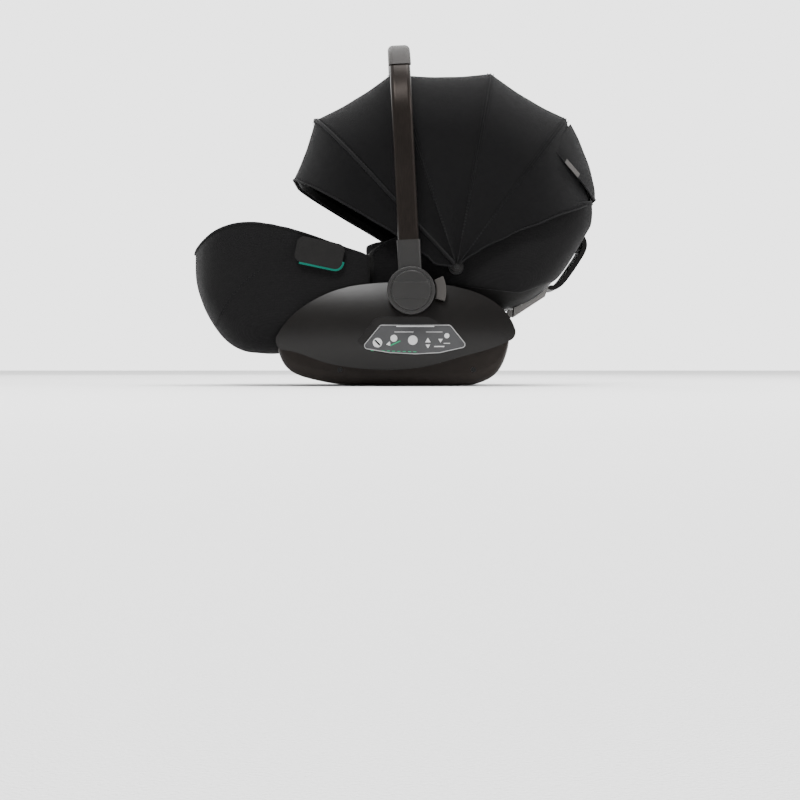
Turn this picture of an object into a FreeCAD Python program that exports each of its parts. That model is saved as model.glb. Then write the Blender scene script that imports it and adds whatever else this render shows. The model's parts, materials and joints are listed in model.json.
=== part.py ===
import FreeCAD, Part
import math
import os

# Infant car seat carrier: rocker base, lie-flat backrest, swinging handle and folding canopy.
# Millimetres. +X points to the head end, +Z up, and the child's left side is -Y.
# The origin is on the floor, under the flat middle of the rocker.

Vec = FreeCAD.Vector
ACROSS = Vec(0, 1, 0)
UP = Vec(0, 0, 1)

# ---- overall sizes -------------------------------------------------------------------------
HUB_X, HUB_Z = 19.0, 151.0      # the axis that the handle and the backrest share
LEG_REACH = 356.0               # from that axis to the foot end
BACK_REACH = 298.0              # from that axis to the head end of the shell
HANDLE_REACH = 408.5            # from that axis to the top of the grip
TRAY_HALF = 152.0               # half the width of the base tray
PANEL_BULGE = 38.0              # how far a side panel stands out from the tray

# ---- walls and fits ------------------------------------------------------------------------
WALL = 5.0
COVER = 3.0                     # fabric over a shell
GAP = 0.4                       # between neighbouring pieces
RUN = 0.5                       # between pieces that move past each other
PIN_R = 8.0
PIN_FIT = 0.15

# ---- handle --------------------------------------------------------------------------------
HANDLE_LEAN = 2.8               # degrees towards the foot end
TUBE_WIDE, TUBE_DEEP = 33.0, 15.0
GRIP_SKIN = 1.6
HANDLE_CORNER = 122.0
HUB_R = 37.6
HUB_THICK = 23.0
ARM_LENGTH = 80.0
SOCKET_START = 46.0
HUB_EDGE_R = 2.0
CAP_R, CAP_DEEP = 31.5, 6.0
CAP_PROUD = 1.5
BAND_HALF, BAND_PROUD = 13.0, 1.2

# ---- widths, from the tray outwards --------------------------------------------------------
PANEL_FACE = TRAY_HALF + PANEL_BULGE
HUB_FACE = PANEL_FACE + 5.5
CANOPY_HALF = HUB_FACE - 16.5
LEG_HALF = TRAY_HALF + 13.0
BACK_HALF = TRAY_HALF - WALL - 6.0
EAR_OUT = BACK_HALF - COVER - GAP - 0.5
EAR_IN = EAR_OUT - 11.0
SHOULDER_HALF = CANOPY_HALF - 24.0

# ---- canopy --------------------------------------------------------------------------------
PIVOT_X, PIVOT_Z = 92.0, 191.0
CROWN_GAP = 4.0                 # between the grip and the canopy's crown
CANOPY_CORNER = 118.0
BOW_WIDE, BOW_THICK = 11.0, 3.0
BOW_PITCH = 3.6                 # from one bow's foot to the next across the pivot
FABRIC = 2.4
EYE_R, PIVOT_PIN_R = 9.0, 4.0
BOWS = {                        # degrees above +X about the pivot, share of the room to the grip
    "canopy_bow_rear": (53.5, 1.0),
    "canopy_bow_middle_rear": (79.6, 1.0),
    "canopy_bow_middle_front": (108.0, 0.935),
    "canopy_bow_front": (133.0, 0.845),
    "visor_bow": (149.0, 0.72),
}

PIECES = {}


def keep(name, *solids):
    """Hold a node's solids until they are written."""
    PIECES[name] = PIECES.get(name, []) + list(solids)


def other_side(shape):
    return shape.mirror(Vec(0, 0, 0), ACROSS)


def keep_pair(name, solid):
    """The same piece on both sides: the one given is on the child's left, at -Y."""
    keep(name + "_left", solid)
    keep(name + "_right", other_side(solid))


def box(low, high):
    size = [b - a for a, b in zip(low, high)]
    return Part.makeBox(*size, Vec(*low))


def rounded_box(low, high, radius):
    solid = box(low, high)
    return solid.makeFillet(radius, solid.Edges)


def disc(radius, x, z, y_near, y_far):
    return Part.makeCylinder(radius, y_far - y_near, Vec(x, y_near, z), ACROSS)


def line(a, b):
    return Part.makeLine(a, b)


def curve(points):
    spline = Part.BSplineCurve()
    spline.interpolate(points)
    return spline.toShape()


def side_point(x, z, y=0.0):
    return Vec(x, y, z)


def side_curve(points):
    return curve([side_point(*p) for p in points])


def slab(edges, y_near, y_far):
    """A closed outline in the XZ plane, carried across from y_near to y_far."""
    face = Part.Face(Part.Wire(Part.__sortEdges__(edges)))
    face.translate(ACROSS * y_near)
    return face.extrude(ACROSS * (y_far - y_near))


def side_polygon(points, y_near, y_far):
    wire = Part.makePolygon([side_point(*p) for p in points + points[:1]])
    return slab(wire.Edges, y_near, y_far)


def rounded_section(x, low, high, half, low_r, high_r):
    """A rounded rectangle across the object at one station along X."""
    def p(y, z):
        return Vec(x, y, z)

    def corner(y, z, r, start):
        mid, end = start + 45, start + 90
        at = [p(y + r * math.cos(math.radians(a)), z + r * math.sin(math.radians(a)))
              for a in (start, mid, end)]
        return Part.Arc(*at).toShape()

    return Part.Wire([
        line(p(-half + low_r, low), p(half - low_r, low)),
        corner(half - low_r, low + low_r, low_r, -90),
        line(p(half, low + low_r), p(half, high - high_r)),
        corner(half - high_r, high - high_r, high_r, 0),
        line(p(half - high_r, high), p(-half + high_r, high)),
        corner(-half + high_r, high - high_r, high_r, 90),
        line(p(-half, high - high_r), p(-half, low + low_r)),
        corner(-half + low_r, low + low_r, low_r, 180),
    ])


def loft(wires):
    return Part.makeLoft(wires, True, False)


def about_hub(shape, degrees):
    """Turn a shape about the handle's axis: positive carries its top to the head end."""
    return shape.rotate(Vec(HUB_X, 0, HUB_Z), ACROSS, degrees)


# ---- outer forms ---------------------------------------------------------------------------
# leg tub stations: share of LEG_REACH, underside, top, share of the half width, corner radii
LEG_STATIONS = [
    (1.000, 182, 222, 0.45, 19, 19),
    (0.958, 131, 246, 0.72, 40, 30),
    (0.880, 86, 262, 0.88, 50, 24),
    (0.770, 58, 269, 0.96, 50, 16),
    (0.640, 55, 265, 1.00, 50, 14),
    (0.471, 60, 250, 1.00, 50, 14),
    (0.330, 66, 232, 1.00, 50, 14),
    (0.185, 72, 216, 1.00, 50, 14),
]
# backrest stations: share of BACK_REACH, underside, top, half width before the cover, radii
BACK_STATIONS = [
    (-0.24, 132, 214, BACK_HALF, 30, 12),
    (-0.06, 120, 246, BACK_HALF, 34, 12),
    (0.13, 122, 250, BACK_HALF + 4, 46, 12),
    (0.36, 119, 256, SHOULDER_HALF, 62, 12),
    (0.58, 126, 272, SHOULDER_HALF + 5, 62, 12),
    (0.78, 166, 290, SHOULDER_HALF - 3, 56, 14),
    (0.92, 226, 304, SHOULDER_HALF - 22, 38, 18),
    (1.00, 264, 308, SHOULDER_HALF - 48, 20, 20),
]


def leg_form(inset, open_top=0.0):
    wires = []
    for n, (share, low, high, width, low_r, high_r) in enumerate(LEG_STATIONS):
        x = HUB_X - LEG_REACH * share
        if n == 0:
            x += inset
        if n == len(LEG_STATIONS) - 1 and open_top:
            x += WALL
        top = high - inset + open_top
        r_high = max(high_r - inset, 3.0)
        wires.append(rounded_section(x, low + inset, top, LEG_HALF * width - inset,
                                     max(low_r - inset, 3.0), r_high))
    return loft(wires)


def back_form(grow, open_top=0.0):
    wires = []
    last = len(BACK_STATIONS) - 1
    for n, (share, low, high, half, low_r, high_r) in enumerate(BACK_STATIONS):
        x = HUB_X + BACK_REACH * share
        if n == 0 and open_top:
            x -= WALL
        if n == last:
            x += grow
        wires.append(rounded_section(x, low - grow, high + grow + open_top, half + grow,
                                     max(low_r + grow, 3.0), max(high_r + grow, 3.0)))
    return loft(wires)


TRAY_TOP = 112.0
TRAY_FRONT, TRAY_BACK = -196.0, 178.0
FLAT_FRONT, FLAT_BACK = -60.0, 95.0     # the rocker's level middle


# the rocker's underside ahead of and behind its level middle: X and height
ROCKER_FRONT = [(TRAY_FRONT, 62), (-190, 42), (-180, 28), (-162, 17), (-137, 9.6), (-110, 4.2),
                (-85, 1.1), (FLAT_FRONT, 0)]
ROCKER_BACK = [(FLAT_BACK, 0), (112, 1.2), (130, 4.6), (146, 11.5), (159, 22), (168, 36),
               (174, 52), (TRAY_BACK, 72)]


def rocker_block(inset, half, edge_r):
    """The tray's outer form, or with an inset the room inside it."""
    centre = (TRAY_FRONT + TRAY_BACK) / 2
    shrink = 1 - 2 * inset / (TRAY_BACK - TRAY_FRONT)

    def section(x, low):
        return rounded_section(centre + (x - centre) * shrink, low + inset, TRAY_TOP,
                               half, edge_r, 2.0)

    lengths = [ROCKER_FRONT, [ROCKER_FRONT[-1], ROCKER_BACK[0]], ROCKER_BACK]
    front, middle, back = [loft([section(*p) for p in points]) for points in lengths]
    return front.fuse([middle, back]).removeSplitter()


def panel_outline(inset=0.0):
    """A long flattened oval, a little deeper at the middle, with tight round ends."""
    i = inset
    top = side_curve([(-193 + i, 84), (-168 + i, 115 - i), (-133, 139 - i), (-92, 155.5 - i),
                      (-30, 164.5 - i), (40, 165 - i), (100, 156.5 - i), (140, 142 - i),
                      (168 - i, 121 - i), (185 - i, 93)])
    bottom = side_curve([(-188 + i, 58 + i), (-159 + i, 52 + i), (-123, 39 + i), (-79, 30 + i),
                         (-12, 26 + i), (55, 34 + i), (100, 47 + i), (144 - i, 59 + i),
                         (176 - i, 72 + i)])
    front = Part.Arc(side_point(-193 + i, 84), side_point(-196.5 + i, 69),
                     side_point(-188 + i, 58 + i)).toShape()
    back = Part.Arc(side_point(185 - i, 93), side_point(185.5 - i, 81),
                    side_point(176 - i, 72 + i)).toShape()
    return [top, back, bottom, front]


PANEL_LONG_R, PANEL_TALL_R = 900.0, 210.0
PANEL_Z = 84.0


def dome(face_y, shrink=0.0):
    """A solid whose outer face bulges to face_y at the near side."""
    tall = PANEL_TALL_R - shrink
    ring = Part.makeTorus(PANEL_LONG_R - PANEL_TALL_R, tall, Vec(0, 0, 0), UP, -90, 90, 360)
    ring.translate(Vec(0, face_y + PANEL_LONG_R, PANEL_Z))
    return ring


def sector(r_in, r_out, a_from, a_to, y_near, y_far):
    """Part of a ring about the hub axis, angles in degrees above +X."""
    ring = disc(r_out, HUB_X, HUB_Z, y_near, y_far).cut(disc(r_in, HUB_X, HUB_Z, y_near, y_far))
    far = r_out * 2
    mid = math.radians((a_from + a_to) / 2)
    a, b = math.radians(a_from), math.radians(a_to)
    wedge = side_polygon([
        (HUB_X, HUB_Z),
        (HUB_X + far * math.cos(a), HUB_Z + far * math.sin(a)),
        (HUB_X + far * 1.2 * math.cos(mid), HUB_Z + far * 1.2 * math.sin(mid)),
        (HUB_X + far * math.cos(b), HUB_Z + far * math.sin(b)),
    ], y_near, y_far)
    return ring.common(wedge)


# ---- base: tray, runners, panels -----------------------------------------------------------
TOWER_R = 30.0
EDGE_R = 20.0
BUTTON = dict(r_in=40.5, r_out=56.0, a_from=-17.0, a_to=25.0)
BUTTON_FACE = -(HUB_FACE - 1.6)
BUTTON_DEEP = 13.0
# centres of the label's corners
LABEL_CORNERS = [(-50, 64), (-27, 92), (79, 92), (100, 66), (64, 58), (26, 56), (-14, 58)]
LABEL_R = 6.0
SURROUND = 12.0                 # the sunk border around the label
LABEL_DEEP = 3.8                # below the panel's highest point
LABEL_THICK = 1.0
LABEL_PLAY = 0.3
SLOT_BAR_Y = 60.0


def tray():
    outer = rocker_block(0.0, TRAY_HALF, EDGE_R)
    hollow_half = TRAY_HALF - WALL
    above = box((TRAY_FRONT + WALL + 10, -hollow_half, TRAY_TOP - 20),
                (TRAY_BACK - WALL - 8, hollow_half, TRAY_TOP + 20))
    shell = outer.cut(rocker_block(WALL, hollow_half, EDGE_R - WALL)).cut(above)
    for side in (-1, 1):
        near = -TRAY_HALF if side < 0 else hollow_half
        tower = disc(TOWER_R, HUB_X, HUB_Z, near, near + WALL)
        neck = box((HUB_X - TOWER_R, near, TRAY_TOP - 12), (HUB_X + TOWER_R, near + WALL, HUB_Z))
        shell = shell.fuse([tower, neck])
    shell = shell.cut(disc(PIN_R + GAP, HUB_X, HUB_Z, -TRAY_HALF - 1, TRAY_HALF + 1))
    for x in LATCH_X:
        shell = shell.cut(disc(LATCH_R + GAP, x, LATCH_Z, -TRAY_HALF - 1, TRAY_HALF + 1))
        pocket = box((x - LATCH_POCKET, -SLOT_BAR_Y, -1), (x + LATCH_POCKET, SLOT_BAR_Y, WALL + 6))
        shell = shell.cut(pocket)
    shell = shell.cut([runner(0.2), other_side(runner(0.2))])
    for x, y in SCREWS:
        shell = shell.cut(Part.makeCylinder(SCREW_R + GAP, WALL * 3, Vec(x, y, -1), UP))
    return shell.removeSplitter()


LATCH_X = (-95.0, 120.0)
LATCH_R, LATCH_Z = 4.0, 26.0
LATCH_POCKET = 16.0
SCREW_R = 3.5
SCREWS = [(x, y) for x in (-40.0, 70.0) for y in (-82.0, 82.0)]
SCREW_SINK = 1.5


def latch_bar(x):
    length = 2 * TRAY_HALF - 2.0
    return Part.makeCylinder(LATCH_R, length, Vec(x, -length / 2, LATCH_Z), ACROSS)


def screw(x, y):
    head = Part.makeCylinder(SCREW_R, 2.5, Vec(x, y, SCREW_SINK), UP)
    shank = Part.makeCylinder(SCREW_R - 1.5, 12.0, Vec(x, y, SCREW_SINK + 2.5), UP)
    return head.fuse(shank)


RUNNER_THICK, RUNNER_WIDE = 3.0, 24.0


def runner(room=0.0):
    """A rubber strip let into the rocker's edge on one side, or with some room its groove."""
    block = rocker_block(0.0, TRAY_HALF, EDGE_R)
    above = block.copy()
    above.translate(UP * (RUNNER_THICK + room))
    near = -TRAY_HALF + EDGE_R + 6.0
    window = box((-165 - room, near - room, -1), (150 + room, near + RUNNER_WIDE + room, 40))
    return biggest(block.cut(above).common(window))


def side_panel():
    """The near panel: a domed face with a return wall all round, closed down to the tray."""
    inner_y = -(TRAY_HALF + GAP)
    outer = slab(panel_outline(), -PANEL_FACE - 5, inner_y).common(dome(-PANEL_FACE))
    hollow = slab(panel_outline(WALL), -PANEL_FACE - 5, inner_y + 1)
    panel = outer.cut(hollow.common(dome(-PANEL_FACE + WALL, WALL)))
    panel = panel.cut(disc(MOUNT_R + GAP, HUB_X, HUB_Z, -PANEL_FACE - 10, inner_y + 1))
    button = dict(BUTTON, r_in=BUTTON["r_in"] - RUN, r_out=BUTTON["r_out"] + RUN,
                  a_from=BUTTON["a_from"] - 0.8, a_to=BUTTON["a_to"] + 0.8)
    panel = panel.cut(sector(y_near=-PANEL_FACE - 10, y_far=inner_y + 1, **button))
    floor = -(PANEL_FACE - LABEL_DEEP)
    for grow, depth in ((0.0, 0.0), (SURROUND, LABEL_THICK)):
        panel = panel.cut(label_form(grow, -PANEL_FACE - 10, floor - depth))
    return panel


def label_form(grow, y_near, y_far):
    """The label's outline with rounded corners, grown, carried across."""
    corners = [side_point(*p) for p in LABEL_CORNERS + LABEL_CORNERS[:1]]
    face = Part.Face(Part.makePolygon(corners).makeOffset2D(LABEL_R + grow))
    face.translate(ACROSS * y_near)
    return face.extrude(ACROSS * (y_far - y_near))


def label_plate():
    floor = -(PANEL_FACE - LABEL_DEEP)
    return label_form(-LABEL_PLAY, floor - LABEL_THICK, floor)


MOUNT_R = 33.0
SPRING_R, SPRING_WIRE, SEAT_THICK = 4.0, 0.9, 1.0


def hub_mount():
    """The bearing block between tray and handle, with a seat for the pivot pin."""
    block = disc(MOUNT_R, HUB_X, HUB_Z, -(HUB_FACE - RUN), -(TRAY_HALF + GAP))
    block = block.cut(disc(PIN_R + GAP, HUB_X, HUB_Z, -HUB_FACE - 1, -TRAY_HALF + 1))
    rim = [e for e in block.Edges if abs(e.CenterOfMass.y + HUB_FACE - RUN) < 1e-3
           and e.Length > 6 * MOUNT_R]
    return block.makeChamfer(1.0, rim)


def pivot_pin():
    inner = -(EAR_IN - RUN)
    outer = -(HUB_FACE + HUB_THICK - CAP_DEEP - 1.0)
    shank = disc(PIN_R, HUB_X, HUB_Z, outer, inner)
    head = disc(PIN_R + 4.0, HUB_X, HUB_Z, inner, inner + 3.0)
    return shank.fuse(head).removeSplitter()


def handle_button():
    block = sector(y_near=BUTTON_FACE, y_far=BUTTON_FACE + BUTTON_DEEP, **BUTTON)
    front = [e for e in block.Edges if abs(e.CenterOfMass.y - BUTTON_FACE) < 1e-3]
    block = block.makeFillet(1.6, front)
    x, z = button_middle()
    bore = disc(SPRING_R + 1.2, x, z, BUTTON_FACE + 4.0, BUTTON_FACE + BUTTON_DEEP + 1)
    return block.cut(bore)


def button_middle():
    r = (BUTTON["r_in"] + BUTTON["r_out"]) / 2
    a = math.radians((BUTTON["a_from"] + BUTTON["a_to"]) / 2)
    return HUB_X + r * math.cos(a), HUB_Z + r * math.sin(a)


def button_spring():
    """A return spring standing between the button and a seat on the tray's outer wall."""
    x, z = button_middle()
    start = BUTTON_FACE + 4.0 + SPRING_WIRE + 0.2
    end = -(TRAY_HALF + GAP + SEAT_THICK + SPRING_WIRE + 0.2)
    turns = 9
    pitch = (end - start) / turns
    helix = Part.makeHelix(pitch, end - start - 0.1, SPRING_R)
    profile = Part.Wire(Part.makeCircle(SPRING_WIRE, Vec(SPRING_R, 0, 0), ACROSS))
    coil = Part.Wire(helix.Edges).makePipeShell([profile], True, True)
    coil.rotate(Vec(0, 0, 0), Vec(1, 0, 0), -90)
    coil.translate(Vec(x, start, z))
    return coil


def spring_seat():
    x, z = button_middle()
    return disc(SPRING_R + 4.0, x, z, -(TRAY_HALF + GAP + SEAT_THICK), -(TRAY_HALF + GAP))


# ---- leg end -------------------------------------------------------------------------------
def under_leg():
    """What the leg tub must leave free: the tray and both side panels."""
    tray_room = rocker_block(-GAP, TRAY_HALF + GAP, EDGE_R)
    tray_room.translate(UP * GAP)
    wide = LEG_HALF + 40
    panel_room = slab(panel_outline(-GAP), -wide, -TRAY_HALF + 1)
    below = side_polygon([(TRAY_FRONT + 6, 88), (TRAY_BACK, 88), (TRAY_BACK, 0),
                          (TRAY_FRONT + 6, 0)], -wide, wide)
    return [tray_room, panel_room, other_side(panel_room), below]


def leg_shell():
    shell = leg_form(COVER + GAP).cut(leg_form(COVER + GAP + WALL, open_top=80))
    return biggest(shell.cut(under_leg()))


def leg_cover():
    skin = leg_form(0).cut(leg_form(COVER))
    window = leg_form(14.0, open_top=90)
    guide = lap_belt_guide()
    return biggest(skin.cut(window).cut(under_leg()).cut([guide, other_side(guide)]))


def biggest(shape):
    return max(shape.Solids, key=lambda s: s.Volume)


SEAT_END = -78.0                # the seat's rear edge, clear of the turning backrest
PAN_THICK = 5.0


def seat_pan():
    half = TRAY_HALF - WALL - GAP
    front = TRAY_FRONT + 20
    return box((front, -half, TRAY_TOP - GAP - PAN_THICK), (SEAT_END, half, TRAY_TOP - GAP))


PAD_BASE = TRAY_TOP + GAP
PAD_HALF = TRAY_HALF - WALL - 3.0


def seat_pad():
    """A deep cushion that rises towards the feet."""
    low = PAD_BASE
    front = HUB_X - LEG_REACH + 42
    outline = [
        line(side_point(SEAT_END, low), side_point(SEAT_END, 132)),
        side_curve([(SEAT_END, 132), (-130, 140), (-200, 163), (-262, 190), (front + 4, 200)]),
        line(side_point(front + 4, 200), side_point(front, 186)),
        side_curve([(front, 186), (front + 20, 136), (front + 70, low)]),
        line(side_point(front + 70, low), side_point(SEAT_END, low)),
    ]
    pad = slab(outline, -PAD_HALF, PAD_HALF)
    return biggest(pad.common(leg_form(COVER + GAP + WALL + GAP, open_top=80)))


GUIDE = dict(x=(-165.0, -88.0), z=(192.0, 233.0), tilt=12.0)


def lap_belt_guide():
    """A curved plate standing off the shell, with a slot behind it for the lap belt."""
    (x0, x1), (z0, z1) = GUIDE["x"], GUIDE["z"]
    mid = Vec((x0 + x1) / 2, 0, (z0 + z1) / 2)
    face = -(LEG_HALF + GUIDE_STAND + GUIDE_THICK)
    plate = box((x0, face, z0), (x1, face + GUIDE_THICK, z1))
    corners = [e for e in plate.Edges if abs(e.tangentAt(0).y) > 0.9]
    plate = plate.makeFillet(11.0, corners)
    feet = []
    for z in (z0 + 1.5, z1 - 7.5):
        feet.append(box((x0 + 12, face + GUIDE_THICK - 0.5, z),
                        (x1 - 12, -(LEG_HALF - COVER - GAP - 1.0), z + 6)))
    guide = plate.fuse(feet).removeSplitter()
    guide.rotate(mid, ACROSS, GUIDE["tilt"])
    return guide.cut(leg_form(COVER + GAP - 0.2))


GUIDE_STAND, GUIDE_THICK = 8.0, 4.0
MARK_THICK = 1.6


def belt_mark():
    """A coloured strip along the guide's lower edge and rear end, where the belt lies."""
    (x0, x1), (z0, z1) = GUIDE["x"], GUIDE["z"]
    mid = Vec((x0 + x1) / 2, 0, (z0 + z1) / 2)
    face = -(LEG_HALF + GUIDE_STAND + GUIDE_THICK)
    grow = 3.4
    outer = box((x0 - grow, face, z0 - grow), (x1 + grow, face + MARK_THICK, z1 + grow))
    outer = outer.makeFillet(11.0 + grow, [e for e in outer.Edges if abs(e.tangentAt(0).y) > 0.9])
    inner = box((x0 - 0.3, face - 1, z0 - 0.3), (x1 + 0.3, face + 5, z1 + 0.3))
    inner = inner.makeFillet(11.3, [e for e in inner.Edges if abs(e.tangentAt(0).y) > 0.9])
    ring = outer.cut(inner)
    keep_low = box((x0 + 10, face - 1, z0 - 10), (x1 + 10, face + 5, z0 + 14))
    mark = ring.common(keep_low)
    mark.rotate(mid, ACROSS, GUIDE["tilt"])
    return mark


# ---- harness -------------------------------------------------------------------------------
WEB_WIDE, WEB_THICK = 38.0, 2.0
BUCKLE_X, BUCKLE_Z = -122.0, 178.0
BUCKLE_TILT = -28.0
BUCKLE = (60.0, 58.0, 20.0)


def buckle_frame(shape):
    """From the buckle's own frame, face up and strap end at -X, to its place."""
    shape.rotate(Vec(0, 0, 0), ACROSS, BUCKLE_TILT)
    shape.translate(Vec(BUCKLE_X, 0, BUCKLE_Z))
    return shape


PRESS_WIDE, PRESS_LONG, PRESS_DEEP, PRESS_TRAVEL = 26.0, 22.0, 7.0, 3.0
TONGUE_WIDE, TONGUE_THICK, TONGUE_Y = 22.0, 3.0, 14.0
TONGUE_OUT = 24.0                # how far a tongue stands out of the buckle


def buckle_body():
    length, wide, deep = BUCKLE
    body = rounded_box((-length / 2, -wide / 2, -deep / 2), (length / 2, wide / 2, deep / 2), 6.0)
    room = RUN
    press = box((-PRESS_LONG / 2 - room, -PRESS_WIDE / 2 - room, deep / 2 - PRESS_DEEP),
                (PRESS_LONG / 2 + room, PRESS_WIDE / 2 + room, deep))
    body = body.cut(press)
    for y in (-TONGUE_Y, TONGUE_Y):
        slot = box((length / 2 - 14, y - TONGUE_WIDE / 2 - GAP, -TONGUE_THICK / 2 - GAP),
                   (length / 2 + 1, y + TONGUE_WIDE / 2 + GAP, TONGUE_THICK / 2 + GAP))
        body = body.cut(slot)
    return buckle_frame(body)


def buckle_button():
    deep = BUCKLE[2]
    low = deep / 2 - PRESS_DEEP + PRESS_TRAVEL + RUN
    key = box((-PRESS_LONG / 2, -PRESS_WIDE / 2, low), (PRESS_LONG / 2, PRESS_WIDE / 2, deep / 2 + 1.0))
    top = [e for e in key.Edges if abs(e.CenterOfMass.z - deep / 2 - 1.0) < 1e-3]
    return buckle_frame(key.makeFillet(1.2, top))


def tongue(y):
    length = BUCKLE[0]
    plate = box((length / 2 - 13, y - TONGUE_WIDE / 2, -TONGUE_THICK / 2),
                (length / 2 + TONGUE_OUT, y + TONGUE_WIDE / 2, TONGUE_THICK / 2))
    slot = box((length / 2 + 12, y - TONGUE_WIDE / 2 + 3, -TONGUE_THICK),
               (length / 2 + 19, y + TONGUE_WIDE / 2 - 3, TONGUE_THICK))
    return buckle_frame(plate.cut(slot))


def ribbon(points, wide, thick, y=0.0):
    """Webbing along a side-view curve, lying flat across the object."""
    upper = side_curve(points)
    lower_points = []
    for n, (x, z) in enumerate(points):
        a = points[max(n - 1, 0)]
        b = points[min(n + 1, len(points) - 1)]
        dx, dz = b[0] - a[0], b[1] - a[1]
        length = math.hypot(dx, dz)
        lower_points.append((x + dz / length * thick, z - dx / length * thick))
    lower = side_curve(lower_points)
    ends = [line(side_point(*points[0]), side_point(*lower_points[0])),
            line(side_point(*points[-1]), side_point(*lower_points[-1]))]
    return slab([upper, lower] + ends, y - wide / 2, y + wide / 2)


# ---- backrest ------------------------------------------------------------------------------
EAR_R = 22.0
PAD_SLOPE = 8.5                 # the lying surface, degrees up towards the head
PAD_TOP_X, PAD_TOP_Z = -50.0, 160.0


def on_pad(distance, above=0.0):
    """A side-view point along the lying surface, and above it."""
    a = math.radians(PAD_SLOPE)
    return (PAD_TOP_X + distance * math.cos(a) - above * math.sin(a),
            PAD_TOP_Z + distance * math.sin(a) + above * math.cos(a))


def pad_frame(shape):
    """From the lying surface's frame, X along it and Z out of it, to its place."""
    shape.rotate(Vec(0, 0, 0), ACROSS, -PAD_SLOPE)
    shape.translate(Vec(PAD_TOP_X, 0, PAD_TOP_Z))
    return shape


def back_shell():
    shell = back_form(-COVER - GAP).cut(back_form(-COVER - GAP - WALL, open_top=90))
    ear = disc(EAR_R, HUB_X, HUB_Z, -EAR_OUT, -EAR_IN)
    shell = shell.fuse([ear, other_side(ear)])
    reach = HUB_FACE
    shell = shell.cut(disc(PIN_R + PIN_FIT, HUB_X, HUB_Z, -reach, reach))
    return biggest(shell).removeSplitter()


COVER_FROM = -40.0


def back_cover():
    skin = back_form(0).cut(back_form(-COVER))
    skin = skin.cut(back_form(-14.0, open_top=90))
    low = side_polygon([(-200, 60), (-200, 150), (60, 166), (130, 158), (195, 150), (255, 172),
                        (300, 205), (400, 60)], -300, 300)
    front = box((-300, -300, 0), (COVER_FROM, 300, 400))
    hole = disc(PIN_R + 2.0, HUB_X, HUB_Z, -300, 300)
    return biggest(skin.cut([low, front, hole]))


RACK_Y, RACK_WIDE = 78.0, 34.0


def recline_rack():
    """A ribbed strip under the shell, where the base holds the chosen recline."""
    strip = side_polygon([(188, 112), (240, 146), (250, 176), (190, 140)],
                         -RACK_Y - RACK_WIDE / 2, -RACK_Y + RACK_WIDE / 2)
    return biggest(strip.cut(back_form(-COVER)))


def back_pad():
    half = EAR_IN - 5.0
    pad = box((0, -half, -24), (BACK_REACH - 24, half, 0))
    pad = pad_frame(pad)
    room = back_form(-COVER - GAP - WALL - GAP, open_top=90)
    return biggest(pad.common(room))


def side_bolster():
    """Padding along one side of the hips, seen over the rim."""
    half = EAR_IN - 6.0
    roll = rounded_box((4, -half, GAP), (118, -half + 24, 72), 10.0)
    return pad_frame(roll)


LOOP_HALF, LOOP_THICK = 52.0, 8.0


def shoulder_belt_guide():
    """A bar standing off the back on two feet, with the belt's way behind it."""
    path = [(288, 262), (309, 250), (314, 236), (303, 208), (284, 180), (262, 160), (242, 164)]
    bar = ribbon(path, 2 * LOOP_HALF, LOOP_THICK)
    return biggest(bar.cut(back_form(GAP)))


# ---- canopy --------------------------------------------------------------------------------
def crown_reach(angle):
    """How far a crown at this angle may stand from the canopy's pivot, under the grip."""
    limit = HANDLE_REACH - TUBE_DEEP - 2 * GRIP_SKIN - CROWN_GAP
    dx, dz = PIVOT_X - HUB_X, PIVOT_Z - HUB_Z
    along = dx * math.cos(math.radians(angle)) + dz * math.sin(math.radians(angle))
    return -along + math.sqrt(along ** 2 + limit ** 2 - dx ** 2 - dz ** 2)


def bow_reach(name):
    angle, share = BOWS[name]
    return crown_reach(angle) * share


def arch_wire(half, reach, corner, thick, foot):
    """An arch in the YZ plane, feet at z = foot, as a closed strip of one thickness."""
    def arch(inset):
        h, top, r = half - inset, reach - inset, corner - inset
        k = math.sqrt(0.5)
        yc, zc = h - r, top - r
        return [
            (Vec(0, -h, foot), Vec(0, -h, zc)),
            (Vec(0, -h, zc), Vec(0, -yc - r * k, zc + r * k), Vec(0, -yc, top)),
            (Vec(0, -yc, top), Vec(0, yc, top)),
            (Vec(0, yc, top), Vec(0, yc + r * k, zc + r * k), Vec(0, h, zc)),
            (Vec(0, h, zc), Vec(0, h, foot)),
        ]

    def edges(parts):
        return [line(*p) if len(p) == 2 else Part.Arc(*p).toShape() for p in parts]

    outside, inside = arch(0), arch(thick)
    feet = [line(outside[0][0], inside[0][0]), line(outside[-1][-1], inside[-1][-1])]
    return Part.Wire(Part.__sortEdges__(edges(outside) + edges(inside) + feet))


def at_pivot(shape, angle):
    """Lay a shape drawn upright in the YZ plane along an angle from the canopy's pivot."""
    shape.rotate(Vec(0, 0, 0), ACROSS, 90 - angle)
    shape.translate(Vec(PIVOT_X, 0, PIVOT_Z))
    return shape


def bow(name):
    angle, _ = BOWS[name]
    layer = list(BOWS).index(name)
    half = CANOPY_HALF - FABRIC - 1.0 - BOW_PITCH * (len(BOWS) - 1 - layer)
    wire = arch_wire(half, bow_reach(name), CANOPY_CORNER, BOW_THICK, 0.0)
    strip = Part.Face(wire).extrude(Vec(BOW_WIDE, 0, 0))
    strip.translate(Vec(-BOW_WIDE / 2, 0, 0))
    eyes = [Part.makeCylinder(EYE_R, BOW_THICK, Vec(0, y, 0), ACROSS)
            for y in (-half, half - BOW_THICK)]
    arch = strip.fuse(eyes)
    bore = Part.makeCylinder(PIVOT_PIN_R + PIN_FIT, 4 * half, Vec(0, -2 * half, 0), ACROSS)
    return at_pivot(arch.cut(bore), angle)


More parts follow.
